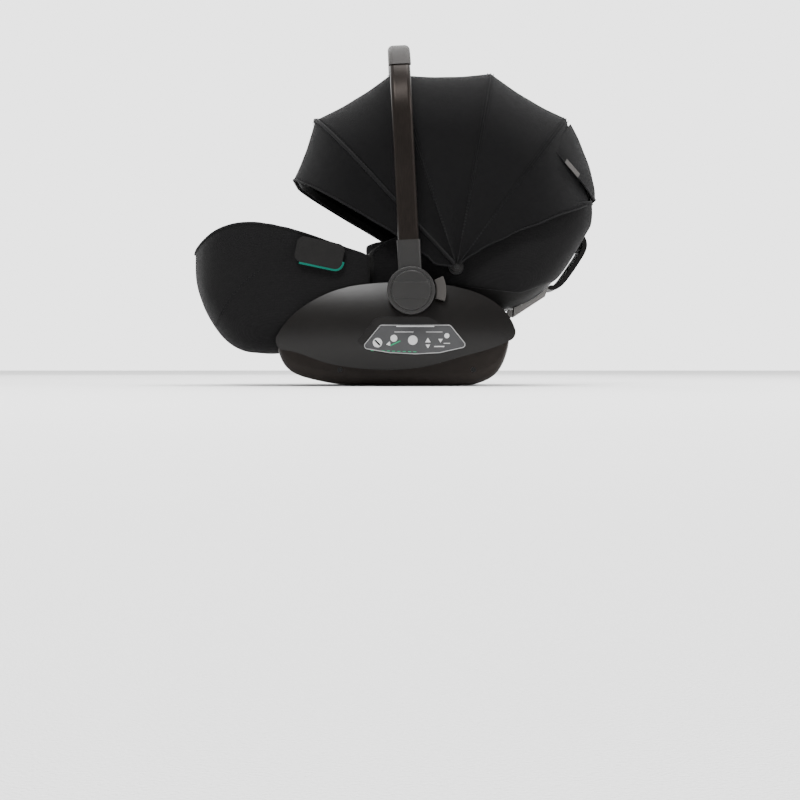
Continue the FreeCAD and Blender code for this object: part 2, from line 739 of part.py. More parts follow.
def canopy_pin():
    half = CANOPY_HALF - FABRIC - 1.0
    inner = half - BOW_PITCH * len(BOWS) - 8.0
    pin = disc(PIVOT_PIN_R, PIVOT_X, PIVOT_Z, -half, -inner)
    boss = disc(EYE_R + 3, PIVOT_X, PIVOT_Z, -(half - BOW_PITCH * len(BOWS)), -inner)
    return biggest(pin.fuse(boss).removeSplitter().cut(back_form(GAP)))


def panel_arch(angle, reach, corner=CANOPY_CORNER, foot=34.0, half=CANOPY_HALF):
    wire = arch_wire(half, reach, corner, FABRIC, foot)
    return at_pivot(wire, angle)


def edge_angle(reach):
    """Half a bow's width plus a gap, as an angle at the pivot."""
    return math.degrees(math.asin((BOW_WIDE / 2 + 1.2) / reach))


def canopy_panel(low, high):
    (a, _), (b, _) = BOWS[low], BOWS[high]
    ra, rb = bow_reach(low), bow_reach(high)
    return Part.makeLoft([panel_arch(a + edge_angle(ra), ra), panel_arch(b - edge_angle(rb), rb)],
                         True, True)


TAIL_ANGLE, TAIL_REACH = 26.5, 251.0
FLAP_PROUD = 3.0                # how far the flap stands off the canopy's side
FLAP_REACH = [(51.5, 311.0), (47.0, 301.5), (42.1, 291.0), (36.0, 280.5), (29.3, 268.0),
              (26.5, 262.5)]    # angle about the pivot, outer reach
FLAP_SIDE = [(236, 392), (322, 304), (350, 290), (350, 470), (236, 470)]
TAG_LONG, TAG_WIDE, TAG_THICK = 34.0, 9.0, 0.8
TAG_ANGLE, TAG_AFTER = 40.5, 2    # about the pivot, the flap station above it
TAG_TURN, TAG_LIFT = 39.5, 0.8    # degrees round the canopy's corner, off the flap


def rear_panel():
    angle, _ = BOWS["canopy_bow_rear"]
    reach = bow_reach("canopy_bow_rear")
    mid = (angle + TAIL_ANGLE) / 2
    panel = Part.makeLoft([
        panel_arch(angle - edge_angle(reach), reach),
        panel_arch(mid, (reach + TAIL_REACH) / 2 - 4.0, foot=44.0),
        panel_arch(TAIL_ANGLE, TAIL_REACH, foot=60.0, half=CANOPY_HALF - 2.0),
    ], True, True)
    return biggest(panel.cut(back_form(GAP)))


def canopy_flap():
    """The flap of cloth that hangs over the rear panel, cut away slantwise at its sides."""
    half = CANOPY_HALF + FLAP_PROUD
    wires = [panel_arch(angle, reach, half=half) for angle, reach in FLAP_REACH]
    cloth = Part.makeLoft(wires, True, True)
    return biggest(cloth.common(side_polygon(FLAP_SIDE, -half - 10, half + 10)))


# ---- handle --------------------------------------------------------------------------------
def handle_tube():
    return about_hub(arch_bar(TUBE_WIDE, TUBE_DEEP, SOCKET_START, GRIP_SKIN), -HANDLE_LEAN)


def rounded_bar(wide, deep, centre, radius):
    """A bar's section in the XY plane, at the foot of the near leg."""
    x0, x1 = -wide / 2, wide / 2
    y0, y1 = centre.y - deep / 2, centre.y + deep / 2
    section = Part.makePolygon([Vec(x0, y0, centre.z), Vec(x1, y0, centre.z),
                                Vec(x1, y1, centre.z), Vec(x0, y1, centre.z),
                                Vec(x0, y0, centre.z)])
    prism = Part.Face(section).extrude(UP)
    upright = [e for e in prism.Edges if abs(e.tangentAt(0).z) > 0.9]
    prism = prism.makeFillet(radius, upright)
    foot = min(prism.Faces, key=lambda f: f.CenterOfMass.z)
    return foot.OuterWire


def arch_path(foot, inset):
    """The handle's centre line, from the near leg's foot over the top to the far one."""
    half = HUB_FACE + TUBE_DEEP / 2 + 1.0
    top = HANDLE_REACH - inset - TUBE_DEEP / 2
    r, k = HANDLE_CORNER, math.sqrt(0.5)
    yc, zc = half - r, top - r
    return [
        line(Vec(0, -half, foot), Vec(0, -half, zc)),
        Part.Arc(Vec(0, -half, zc), Vec(0, -yc - r * k, zc + r * k), Vec(0, -yc, top)).toShape(),
        line(Vec(0, -yc, top), Vec(0, yc, top)),
        Part.Arc(Vec(0, yc, top), Vec(0, yc + r * k, zc + r * k), Vec(0, half, zc)).toShape(),
        line(Vec(0, half, zc), Vec(0, half, foot)),
    ]


def arch_bar(wide, deep, foot, inset):
    path = Part.Wire(arch_path(foot, inset))
    start = Vec(0, -(HUB_FACE + TUBE_DEEP / 2 + 1.0), foot)
    section = rounded_bar(wide, deep, start, min(wide, deep) * 0.46)
    bar = path.makePipeShell([section], True, True)
    bar.translate(Vec(HUB_X, 0, HUB_Z))
    return bar


GRIP_DROP = 46.0                # how far below its top the grip ends


def handle_grip():
    outer = arch_bar(TUBE_WIDE + 2 * GRIP_SKIN, TUBE_DEEP + 2 * GRIP_SKIN, SOCKET_START, GRIP_SKIN)
    inner = arch_bar(TUBE_WIDE + 0.2, TUBE_DEEP + 0.2, SOCKET_START, GRIP_SKIN)
    sleeve = outer.cut(inner)
    top = HUB_Z + HANDLE_REACH
    room = box((-300, -300, top - GRIP_DROP), (300, 300, top + 10))
    return about_hub(sleeve.common(room), -HANDLE_LEAN)


def handle_hub():
    """The hub ring and the arm that the tube plugs into."""
    y0 = -(HUB_FACE + HUB_THICK)
    ring = disc(HUB_R, HUB_X, HUB_Z, y0, -HUB_FACE)
    arm_face = -(HUB_FACE + TUBE_DEEP + 3.0)
    half = TUBE_WIDE / 2 + 2.0
    arm = box((HUB_X - half, arm_face, HUB_Z), (HUB_X + half, -HUB_FACE, HUB_Z + ARM_LENGTH))
    arm = arm.makeFillet(5.0, [e for e in arm.Edges if abs(e.tangentAt(0).z) > 0.9])
    hub = ring.fuse(arm).removeSplitter()
    face = [e for e in hub.Edges if abs(e.CenterOfMass.y - y0) < 1e-3 and e.Length > 4 * HUB_R]
    hub = hub.makeFillet(HUB_EDGE_R, face)
    hub = hub.cut(disc(CAP_R + GAP, HUB_X, HUB_Z, y0 - 1, y0 + CAP_DEEP))
    hub = hub.cut(disc(PIN_R + PIN_FIT, HUB_X, HUB_Z, y0 - 1, 0))
    socket = arch_bar(TUBE_WIDE + 0.2, TUBE_DEEP + 0.2, SOCKET_START - 0.5, GRIP_SKIN)
    return about_hub(hub.cut(socket), -HANDLE_LEAN)


def hub_cap():
    y0 = -(HUB_FACE + HUB_THICK)
    cap = disc(CAP_R, HUB_X, HUB_Z, y0 - CAP_PROUD, y0 + CAP_DEEP - GAP)
    face = [e for e in cap.Edges if abs(e.CenterOfMass.y - y0 + CAP_PROUD) < 1e-3]
    cap = cap.makeFillet(2.0, face)
    band = disc(CAP_R - 2.0, HUB_X, HUB_Z, y0 - CAP_PROUD - BAND_PROUD, y0)
    band = band.common(box((HUB_X - CAP_R, y0 - CAP_R, HUB_Z - BAND_HALF),
                           (HUB_X + CAP_R, y0, HUB_Z + BAND_HALF)))
    front = [e for e in band.Edges if abs(e.CenterOfMass.y - y0 + CAP_PROUD + BAND_PROUD) < 1e-3]
    return cap.fuse(band.makeFillet(BAND_PROUD / 2, front)).removeSplitter()


# ---- headrest, harness and tag --------------------------------------------------------------
HEAD_FROM, HEAD_LONG = 178.0, 92.0      # the headrest's place along the lying surface, lowered
HEAD_HALF, HEAD_THICK, WING_HIGH = 104.0, 16.0, 62.0
HEAD_SHELL = 4.0


def head_form(grow, wing_high):
    """A U across the object: a base and two side wings, in the lying surface's frame."""
    low, outer = RUN + HEAD_SHELL - grow, HEAD_HALF + grow
    block = box((HEAD_FROM - grow, -outer, low), (HEAD_FROM + HEAD_LONG + grow, outer, wing_high))
    room = HEAD_HALF - 22.0
    well = box((HEAD_FROM - 20, -room, low + HEAD_THICK + grow),
               (HEAD_FROM + HEAD_LONG + 20, room, wing_high + 10))
    block = block.cut(well)
    soft = [e for e in block.Edges if abs(e.tangentAt(0).x) > 0.9
            and abs(e.CenterOfMass.y) > room - 1 and e.CenterOfMass.z > low + 1]
    return block.makeFillet(7.0, soft)


def headrest_pad():
    return pad_frame(head_form(0.0, WING_HIGH))


def headrest_shell():
    """A thin tray under and beside the headrest's pad."""
    grow = HEAD_SHELL - GAP
    low = RUN
    outer = HEAD_HALF + HEAD_SHELL
    tray_box = box((HEAD_FROM, -outer, low), (HEAD_FROM + HEAD_LONG, outer, WING_HIGH - 18))
    room = box((HEAD_FROM - 1, -HEAD_HALF - GAP, low + grow),
               (HEAD_FROM + HEAD_LONG + 1, HEAD_HALF + GAP, WING_HIGH))
    return pad_frame(tray_box.cut(room))


STRAP_Y, STRAP_PAD_WIDE = 25.0, 46.0


STRAP_PATH = [(-20, 208), on_pad(95, 38), on_pad(140, 26)]


def shoulder_strap():
    """Webbing from the headrest's front edge, over the lying surface, to the buckle's tongue."""
    end = Vec(BUCKLE[0] / 2 + TONGUE_OUT + 1.0, 0, 1.0)
    end = FreeCAD.Rotation(ACROSS, BUCKLE_TILT).multVec(end) + Vec(BUCKLE_X, 0, BUCKLE_Z)
    points = [(end.x, end.z), (end.x + 16, end.z + 4), *STRAP_PATH, on_pad(HEAD_FROM - 8, 6)]
    return ribbon(points, WEB_WIDE, WEB_THICK, -STRAP_Y)


STRAP_PAD_THICK = 7.0


def shoulder_pad():
    """A padded sleeve lying on the strap at the chest."""
    lift = STRAP_PAD_THICK + 1.2
    points = [(x, z + lift) for x, z in STRAP_PATH]
    return ribbon(points, STRAP_PAD_WIDE, STRAP_PAD_THICK, -STRAP_Y)


def crotch_strap():
    length = BUCKLE[0]
    end = FreeCAD.Rotation(ACROSS, BUCKLE_TILT).multVec(Vec(-length / 2 - 1, 0, 0))
    end += Vec(BUCKLE_X, 0, BUCKLE_Z)
    return ribbon([(end.x, end.z), (end.x - 7, end.z - 10), (end.x - 8, PAD_AT_BUCKLE)],
                  WEB_WIDE, WEB_THICK)


PAD_AT_BUCKLE = 152.0
ADJUSTER_X, ADJUSTER_Z = -252.0, 193.0
ADJUSTER_TILT = 24.0
ADJUSTER = (44.0, 46.0, 14.0)
ADJUST_TRAVEL = 3.0


def adjuster_frame(shape):
    shape.rotate(Vec(0, 0, 0), ACROSS, ADJUSTER_TILT)
    shape.translate(Vec(ADJUSTER_X, 0, ADJUSTER_Z))
    return shape


def adjuster_housing():
    length, wide, deep = ADJUSTER
    body = rounded_box((-length / 2, -wide / 2, 0), (length / 2, wide / 2, deep), 4.0)
    room = box((-9 - RUN, -13 - RUN, deep - 7), (9 + RUN, 13 + RUN, deep + 1))
    slot = box((-length / 2 - 1, -WEB_WIDE / 2 - 1, 3), (-length / 2 + 8, WEB_WIDE / 2 + 1, 6.4))
    return adjuster_frame(body.cut([room, slot]))


def adjuster_button():
    deep = ADJUSTER[2]
    key = box((-9, -13, deep - 7 + ADJUST_TRAVEL + RUN), (9, 13, deep + 0.8))
    top = [e for e in key.Edges if abs(e.CenterOfMass.z - deep - 0.8) < 1e-3]
    return adjuster_frame(key.makeFillet(1.2, top))


def adjuster_strap():
    """The loose end that tightens the harness, lying towards the feet."""
    start = FreeCAD.Rotation(ACROSS, ADJUSTER_TILT).multVec(Vec(-ADJUSTER[0] / 2 - 1, 0, 5.4))
    start += Vec(ADJUSTER_X, 0, ADJUSTER_Z)
    return ribbon([(start.x - 46, start.z + 12), (start.x - 22, start.z + 14),
                   (start.x, start.z)], WEB_WIDE - 4, WEB_THICK)


def flap_tag():
    """A sewn tape lying flat on the flap's slanting edge, where the canopy's corner turns."""
    angle, turn = math.radians(TAG_ANGLE), math.radians(TAG_TURN)
    outward, forward = Vec(math.cos(angle), 0, math.sin(angle)), Vec(-math.sin(angle), 0, math.cos(angle))
    (high, wide), (low, narrow) = FLAP_REACH[TAG_AFTER], FLAP_REACH[TAG_AFTER + 1]
    growth = (wide - narrow) / math.radians(high - low)
    reach = narrow + growth * (angle - math.radians(low))
    r = reach - CANOPY_CORNER * (1 - math.sin(turn))
    y = CANOPY_HALF + FLAP_PROUD - CANOPY_CORNER * (1 - math.cos(turn))
    out = outward * math.sin(turn) - ACROSS * math.cos(turn) - forward * (growth / r * math.sin(turn))
    out.normalize()
    at = Vec(PIVOT_X, -y, PIVOT_Z) + outward * r + out * TAG_LIFT
    (x0, z0), (x1, z1) = FLAP_SIDE[:2]
    along = Vec(x1 - x0, 0, z1 - z0)
    along.y = -(along.x * out.x + along.z * out.z) / out.y
    along.normalize()
    down = out.cross(along)
    if down.z > 0:
        down = down * -1
    corners = [at + along * (TAG_LONG * a) + down * (TAG_WIDE * b)
               for a, b in ((-0.5, -0.3), (0.5, -0.3), (0.5, 0.7), (-0.5, 0.7), (-0.5, -0.3))]
    return Part.Face(Part.makePolygon(corners)).extrude(out * TAG_THICK)


def write_all():
    os.makedirs("parts", exist_ok=True)
    for name, solids in PIECES.items():
        for solid in solids:
            if not solid.isValid() or solid.Volume <= 0:
                print("CHECK", name, solid.isValid(), solid.Volume)
        shape = solids[0] if len(solids) == 1 else Part.makeCompound(solids)
        shape.exportStep("parts/" + name + ".step")
    print(len(PIECES), "nodes")


# ---- the whole carrier ---------------------------------------------------------------------
keep("base_tray", tray())
keep("rocker_runners", runner(), other_side(runner()))
keep("latch_bars", *[latch_bar(x) for x in LATCH_X])
keep("tray_screws", *[screw(x, y) for x, y in SCREWS])
keep_pair("side_panel", side_panel())
keep("label_plates", label_plate(), other_side(label_plate()))
keep_pair("hub_mount", hub_mount())
keep("pivot_pins", pivot_pin(), other_side(pivot_pin()))
keep("button_springs", button_spring(), other_side(button_spring()))
keep("spring_seats", spring_seat(), other_side(spring_seat()))
keep("leg_shell", leg_shell())
keep("leg_cover", leg_cover())
keep("seat_pan", seat_pan())
keep("seat_pad", seat_pad())
keep_pair("lap_belt_guide", lap_belt_guide())
keep("belt_marks", belt_mark(), other_side(belt_mark()))
keep("crotch_strap", crotch_strap())
keep("buckle_body", buckle_body())
keep("buckle_button", buckle_button())
keep("buckle_tongues", tongue(-TONGUE_Y), tongue(TONGUE_Y))
keep("adjuster_housing", adjuster_housing())
keep("adjuster_button", adjuster_button())
keep("adjuster_strap", adjuster_strap())

keep_pair("handle_button", handle_button())

keep("back_shell", back_shell())
keep("back_cover", back_cover())
keep("back_pad", back_pad())
keep("side_bolsters", side_bolster(), other_side(side_bolster()))
keep("recline_racks", recline_rack(), other_side(recline_rack()))
keep("shoulder_belt_guide", shoulder_belt_guide())
keep_pair("shoulder_strap", shoulder_strap())
keep_pair("shoulder_pad", shoulder_pad())
keep("canopy_pins", canopy_pin(), other_side(canopy_pin()))
keep("canopy_rear_panel", rear_panel())
keep("canopy_flap", canopy_flap())
keep("flap_tag", flap_tag())
keep("headrest_shell", headrest_shell())
keep("headrest_pad", headrest_pad())

for bow_name in BOWS:
    keep(bow_name, bow(bow_name))
keep("canopy_panel_rear", canopy_panel("canopy_bow_rear", "canopy_bow_middle_rear"))
keep("canopy_panel_middle", canopy_panel("canopy_bow_middle_rear", "canopy_bow_middle_front"))
keep("canopy_panel_front", canopy_panel("canopy_bow_middle_front", "canopy_bow_front"))
keep("visor_panel", canopy_panel("canopy_bow_front", "visor_bow"))

keep("handle_tube", handle_tube())
keep("handle_grip", handle_grip())
keep_pair("handle_hub", handle_hub())
keep_pair("hub_cap", hub_cap())
write_all()
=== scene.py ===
import json
import math

import bmesh
import bpy
from mathutils import Matrix, Vector, noise
from mathutils.bvhtree import BVHTree


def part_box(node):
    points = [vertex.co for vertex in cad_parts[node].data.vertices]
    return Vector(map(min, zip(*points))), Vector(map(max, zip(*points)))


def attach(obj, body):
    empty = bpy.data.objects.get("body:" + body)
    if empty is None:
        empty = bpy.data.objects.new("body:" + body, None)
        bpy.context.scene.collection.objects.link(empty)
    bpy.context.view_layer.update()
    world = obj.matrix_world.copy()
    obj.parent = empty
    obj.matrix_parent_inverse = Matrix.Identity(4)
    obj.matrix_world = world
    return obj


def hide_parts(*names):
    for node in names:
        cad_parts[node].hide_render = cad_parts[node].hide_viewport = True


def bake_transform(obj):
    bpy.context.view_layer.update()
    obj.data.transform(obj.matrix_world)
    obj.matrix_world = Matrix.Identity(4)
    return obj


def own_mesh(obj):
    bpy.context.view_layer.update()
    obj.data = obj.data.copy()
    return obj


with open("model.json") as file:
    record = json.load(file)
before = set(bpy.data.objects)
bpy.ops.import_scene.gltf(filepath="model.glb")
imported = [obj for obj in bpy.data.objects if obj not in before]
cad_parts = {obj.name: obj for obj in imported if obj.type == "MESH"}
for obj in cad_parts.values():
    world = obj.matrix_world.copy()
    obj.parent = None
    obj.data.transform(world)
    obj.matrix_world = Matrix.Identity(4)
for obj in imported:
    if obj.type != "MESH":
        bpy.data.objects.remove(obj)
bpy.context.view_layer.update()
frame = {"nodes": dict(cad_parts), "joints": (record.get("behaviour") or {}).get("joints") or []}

# Infant carrier: fabric, padding, webbing and finishes around the CAD pieces. Metres.
# +X is the head end, +Z up, and the child's left side is -Y.

JOINTS = {j["name"]: j for j in frame["joints"]}
PIVOT = Vector(JOINTS["canopy_fold"]["pos_m"])
SIDES = {"left": -1, "right": 1}
MM = 0.001


# ---- shader expressions --------------------------------------------------------------------
class Value:
    """A shader socket that takes part in Python expressions."""

    def __init__(self, finish, socket):
        self.finish, self.socket = finish, socket

    def _math(self, operation, *inputs):
        return self.finish.node("ShaderNodeMath", {"operation": operation},
                                dict(enumerate(inputs)))

    def __add__(self, other):
        return self._math("ADD", self, other)

    __radd__ = __add__

    def __mul__(self, other):
        return self._math("MULTIPLY", self, other)

    __rmul__ = __mul__

    def __sub__(self, other):
        return self._math("SUBTRACT", self, other)

    def __rsub__(self, other):
        return self._math("SUBTRACT", other, self)

    def wave(self, period):
        """A sine of this value, from 0 to 1."""
        return self._math("SINE", self * (2 * math.pi / period)) * 0.5 + 0.5

    def clamp(self):
        return self._math("MINIMUM", self._math("MAXIMUM", self, 0.0), 1.0)

    def wrap(self, period):
        return self._math("FLOORED_MODULO", self, period)


class Finish:
    """One material, with its Principled shader and a method that makes any node."""

    def __init__(self, name, **constants):
        self.material = bpy.data.materials.new(name)
        self.material.use_nodes = True
        self.tree = self.material.node_tree
        self.shader = self.tree.nodes["Principled BSDF"]
        for socket, value in constants.items():
            self.shader.inputs[socket.replace("_", " ")].default_value = value

    def node(self, kind, settings=None, inputs=None, output=0):
        made = self.tree.nodes.new(kind)
        for key, value in (settings or {}).items():
            setattr(made, key, value)
        for key, value in (inputs or {}).items():
            if isinstance(value, Value):
                self.tree.links.new(value.socket, made.inputs[key])
            else:
                made.inputs[key].default_value = value
        return Value(self, made.outputs[output])

    def place(self):
        return self.node("ShaderNodeTexCoord", output="Object")

    def parts(self, vector):
        split = self.tree.nodes.new("ShaderNodeSeparateXYZ")
        self.tree.links.new(vector.socket, split.inputs[0])
        return [Value(self, split.outputs[n]) for n in range(3)]

    def noise(self, scale, detail=3.0, vector=None, stretch=None):
        vector = vector or self.place()
        if stretch:
            vector = self.node("ShaderNodeMapping", {}, {0: vector, "Scale": stretch})
        return self.node("ShaderNodeTexNoise", {}, {"Vector": vector, "Scale": scale,
                                                    "Detail": detail})

    def mix(self, factor, a, b):
        """Two colours blended by a factor."""
        def colour(c):
            return c if isinstance(c, Value) else (*c, 1.0)
        made = self.tree.nodes.new("ShaderNodeMix")
        made.data_type = "RGBA"
        for key, value in ((0, factor), (6, colour(a)), (7, colour(b))):
            if isinstance(value, Value):
                self.tree.links.new(value.socket, made.inputs[key])
            else:
                made.inputs[key].default_value = value
        return Value(self, made.outputs[2])

    def feed(self, socket, value):
        self.tree.links.new(value.socket, self.shader.inputs[socket])
        return self

    def bump(self, height, distance, strength=1.0):
        normal = self.node("ShaderNodeBump", {}, {"Height": height, "Distance": distance,
                                                  "Strength": strength})
        return self.feed("Normal", normal)


# ---- finishes ------------------------------------------------------------------------------
def cloth_weave(name, dark, light, thread, sheen=0.03, rough=0.92):
    """Plain weave on the sheet's own UV map, in metres, with fleck and faint clouding."""
    f = Finish(name, Sheen_Weight=sheen, Sheen_Roughness=0.45, Specular_IOR_Level=0.08)
    u, v, _ = f.parts(f.node("ShaderNodeUVMap", {"uv_map": "cloth"}))
    across, along = u.wave(thread), v.wave(thread)
    weave = across * along + (1 - across) * (1 - along)
    melange = f.noise(900.0, 2.0)
    cloud = f.noise(9.0, 4.0)
    tone = (weave * 0.45 + melange * 0.45 + cloud * 0.25).clamp()
    f.feed("Base Color", f.mix(tone, dark, light))
    f.feed("Roughness", melange * 0.12 + (rough - 0.08))
    soft = f.noise(55.0, 3.0)
    return f.bump(weave * 0.6 + melange * 0.4 + soft * 1.5, 0.00045).material


def knit(name, dark, light, grain=1600.0, rough=0.88, puff=70.0):
    """A soft jersey that needs no UV map."""
    f = Finish(name, Sheen_Weight=0.04, Sheen_Roughness=0.5, Specular_IOR_Level=0.1)
    x, y, z = f.parts(f.place())
    loops = (x + z * 0.6).wave(0.0016) * (y + z * 0.4).wave(0.0016)
    fleck = f.noise(grain, 2.0)
    cloud = f.noise(12.0, 4.0)
    tone = (fleck * 0.7 + loops * 0.25 + cloud * 0.3 - 0.1).clamp()
    f.feed("Base Color", f.mix(tone, dark, light))
    f.feed("Roughness", fleck * 0.12 + (rough - 0.06))
    return f.bump(loops * 0.5 + fleck * 0.6 + f.noise(puff, 2.0) * 1.2, 0.0005).material


def moulded(name, base, lifted, rough, grain=2400.0, grain_depth=0.00006, scuff=0.25, coat=0.0,
            shine=0.1):
    """Injection-moulded plastic: spark-eroded grain, faint flow, scuffs on its edges."""
    f = Finish(name, Specular_IOR_Level=shine, Coat_Weight=coat, Coat_Roughness=0.25)
    fine = f.noise(grain, 2.0)
    flow = f.noise(6.0, 3.0, stretch=(1.0, 1.0, 2.5))
    edge = f.node("ShaderNodeNewGeometry", output="Pointiness")
    worn = ((edge - 0.53) * 9.0).clamp() * f.noise(60.0, 4.0)
    dust = (f.noise(28.0, 5.0) - 0.5).clamp() * 0.35
    tone = (flow * 0.3 + fine * 0.2 + worn * scuff + dust).clamp()
    f.feed("Base Color", f.mix(tone, base, lifted))
    f.feed("Roughness", fine * 0.10 + flow * 0.08 + (rough - 0.09) + worn * 0.1)
    return f.bump(fine, grain_depth * 8.0, 0.5).material


def brushed(name, base, lifted, rough, stretch, metallic=1.0):
    """Drawn or anodised metal, streaked along the way it was drawn and lightly handled."""
    f = Finish(name, Anisotropic=0.4)
    streak = f.noise(220.0, 3.0, stretch=stretch)
    smudge = f.noise(14.0, 4.0)
    f.feed("Base Color", f.mix((streak * 0.6 + smudge * 0.3).clamp(), base, lifted))
    f.feed("Roughness", streak * 0.14 + smudge * 0.12 + (rough - 0.12))
    f.shader.inputs["Metallic"].default_value = metallic
    f.shader.inputs["Specular IOR Level"].default_value = 0.5 if metallic == 1.0 else 0.08
    return f.bump(streak, 0.00008, 0.5).material


def webbing_weave(name, dark, light):
    """Seat-belt webbing: herringbone along the ribbon, with fine lengthwise cords."""
    f = Finish(name, Sheen_Weight=0.05, Specular_IOR_Level=0.3)
    u, v, _ = f.parts(f.node("ShaderNodeUVMap", {"uv_map": "cloth"}))
    chevron = u.wrap(0.008) - 0.004
    slant = f.node("ShaderNodeMath", {"operation": "ABSOLUTE"}, {0: chevron})
    twill = (v + slant * 1.2).wave(0.0022)
    cords = u.wave(0.0013)
    fleck = f.noise(1500.0, 2.0)
    f.feed("Base Color", f.mix((twill * 0.5 + cords * 0.25 + fleck * 0.3).clamp(), dark, light))
    f.feed("Roughness", fleck * 0.1 + 0.55)
    return f.bump(twill * 0.7 + cords * 0.5, 0.0004).material


BLACK, INK = (0.0025, 0.0025, 0.003), (0.009, 0.0088, 0.009)
FINISH = {
    "canopy": cloth_weave("canopy_cloth", (0.0016, 0.0016, 0.0018), (0.0062, 0.006, 0.0063), 0.0009),
    "cover": knit("cover_cloth", (0.0018, 0.0018, 0.002), (0.0078, 0.0074, 0.0076)),
    "pad": knit("pad_jersey", (0.012, 0.012, 0.013), (0.045, 0.045, 0.047)),
    "insert": knit("insert_jersey", (0.02, 0.02, 0.021), (0.07, 0.07, 0.073), grain=1300.0),
    "piping": knit("piping_cord", BLACK, INK, puff=300.0),
    "thread": knit("stitch_thread", (0.008, 0.008, 0.0085), (0.02, 0.02, 0.021), grain=3000.0),
    "webbing": webbing_weave("harness_webbing", (0.004, 0.004, 0.0045), (0.02, 0.02, 0.021)),
    "tape": webbing_weave("label_tape", (0.014, 0.012, 0.011), (0.055, 0.05, 0.046)),
    "shell": moulded("shell_plastic", (0.0025, 0.0024, 0.0024), (0.02, 0.019, 0.0185), 0.5),
    "tray": moulded("tray_plastic", (0.010, 0.0078, 0.0068), (0.04, 0.033, 0.029), 0.42),
    "panel": moulded("panel_plastic", (0.0018, 0.0014, 0.0013), (0.010, 0.0085, 0.0075), 0.30,
                     grain_depth=0.00002, shine=0.24),
    "hub": moulded("hub_plastic", (0.0035, 0.0032, 0.003), (0.02, 0.0185, 0.0175), 0.32, shine=0.35),
    "button": moulded("button_plastic", (0.035, 0.032, 0.03), (0.085, 0.08, 0.077), 0.45),
    "grip": moulded("grip_rubber", (0.022, 0.02, 0.019), (0.06, 0.057, 0.055), 0.55,
                    grain_depth=0.00009),
    "rubber": moulded("runner_rubber", (0.002, 0.002, 0.002), (0.015, 0.015, 0.015), 0.75),
    "red": moulded("buckle_red", (0.35, 0.012, 0.01), (0.55, 0.05, 0.04), 0.35, coat=0.2),
    "teal": moulded("belt_marker", (0.0, 0.065, 0.045), (0.003, 0.13, 0.095), 0.4),
    "rack": moulded("rack_plastic", (0.12, 0.115, 0.11), (0.22, 0.215, 0.21), 0.5),
    "label": moulded("label_film", (0.035, 0.035, 0.036), (0.06, 0.06, 0.062), 0.3, coat=0.4),
    "label_rim": moulded("label_rim", (0.22, 0.22, 0.22), (0.36, 0.36, 0.36), 0.3),
    "label_ink": moulded("label_ink", (0.42, 0.42, 0.42), (0.6, 0.6, 0.6), 0.5),
    "label_green": moulded("label_green", (0.01, 0.2, 0.09), (0.03, 0.32, 0.16), 0.5),
    "tube": brushed("handle_anodised", (0.007, 0.0055, 0.0048), (0.026, 0.0215, 0.019), 0.34,
                    (6.0, 6.0, 0.25), metallic=0.55),
    "steel": brushed("bright_steel", (0.35, 0.35, 0.36), (0.62, 0.62, 0.63), 0.3, (0.3, 6.0, 6.0)),
    "black_steel": brushed("black_steel", (0.01, 0.01, 0.01), (0.04, 0.04, 0.04), 0.4,
                           (0.3, 6.0, 6.0), metallic=0.6),
}


def dress(node, finish):
    """Give a carried-over hard piece its material."""
    obj = frame["nodes"][node]
    obj.data.materials.clear()
    obj.data.materials.append(FINISH[finish])


HARD = {
    "shell": ["back_shell", "leg_shell", "seat_pan", "hub_mount_left", "hub_mount_right",
              "spring_seats", "lap_belt_guide_left", "lap_belt_guide_right",
              "shoulder_belt_guide", "buckle_body", "adjuster_housing", "headrest_shell",
              "canopy_bow_rear", "canopy_bow_middle_rear", "canopy_bow_middle_front",
              "canopy_bow_front", "visor_bow"],
    "tray": ["base_tray"],
    "panel": ["side_panel_left", "side_panel_right"],
    "hub": ["handle_hub_left", "handle_hub_right", "hub_cap_left", "hub_cap_right"],
    "button": ["handle_button_left", "handle_button_right", "adjuster_button"],
    "grip": ["handle_grip"],
    "rubber": ["rocker_runners"],
    "red": ["buckle_button"],
    "teal": ["belt_marks"],
    "rack": ["recline_racks"],
    "label": ["label_plates"],
    "tube": ["handle_tube"],
    "steel": ["tray_screws", "pivot_pins", "buckle_tongues"],
    "black_steel": ["latch_bars", "canopy_pins"],
}
for finish_name, node_names in HARD.items():
    for node_name in node_names:
        dress(node_name, finish_name)


# ---- mesh helpers --------------------------------------------------------------------------
def piece(name, bm, finish, body=None, smooth=True):
    """A finished mesh piece at the origin, riding on a body when one is named."""
    mesh = bpy.data.meshes.new(name)
    bm.to_mesh(mesh)
    bm.free()
    if smooth:
        mesh.shade_smooth()
    obj = bpy.data.objects.new(name, mesh)
    bpy.context.scene.collection.objects.link(obj)
    mesh.materials.append(FINISH[finish])
    if body:
        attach(obj, body)
    return obj


def subdivide(obj, levels=1):
    modifier = obj.modifiers.new("smooth", "SUBSURF")
    modifier.levels = modifier.render_levels = levels
    return obj


def thicken(obj, thickness, offset=-1.0):
    modifier = obj.modifiers.new("wall", "SOLIDIFY")
    modifier.thickness, modifier.offset = thickness, offset
    return obj


def settle(obj):
    """Apply every modifier, so that the mesh is final."""
    depsgraph = bpy.context.evaluated_depsgraph_get()
    done = bpy.data.meshes.new_from_object(obj.evaluated_get(depsgraph))
    obj.modifiers.clear()
    obj.data = done
    return obj


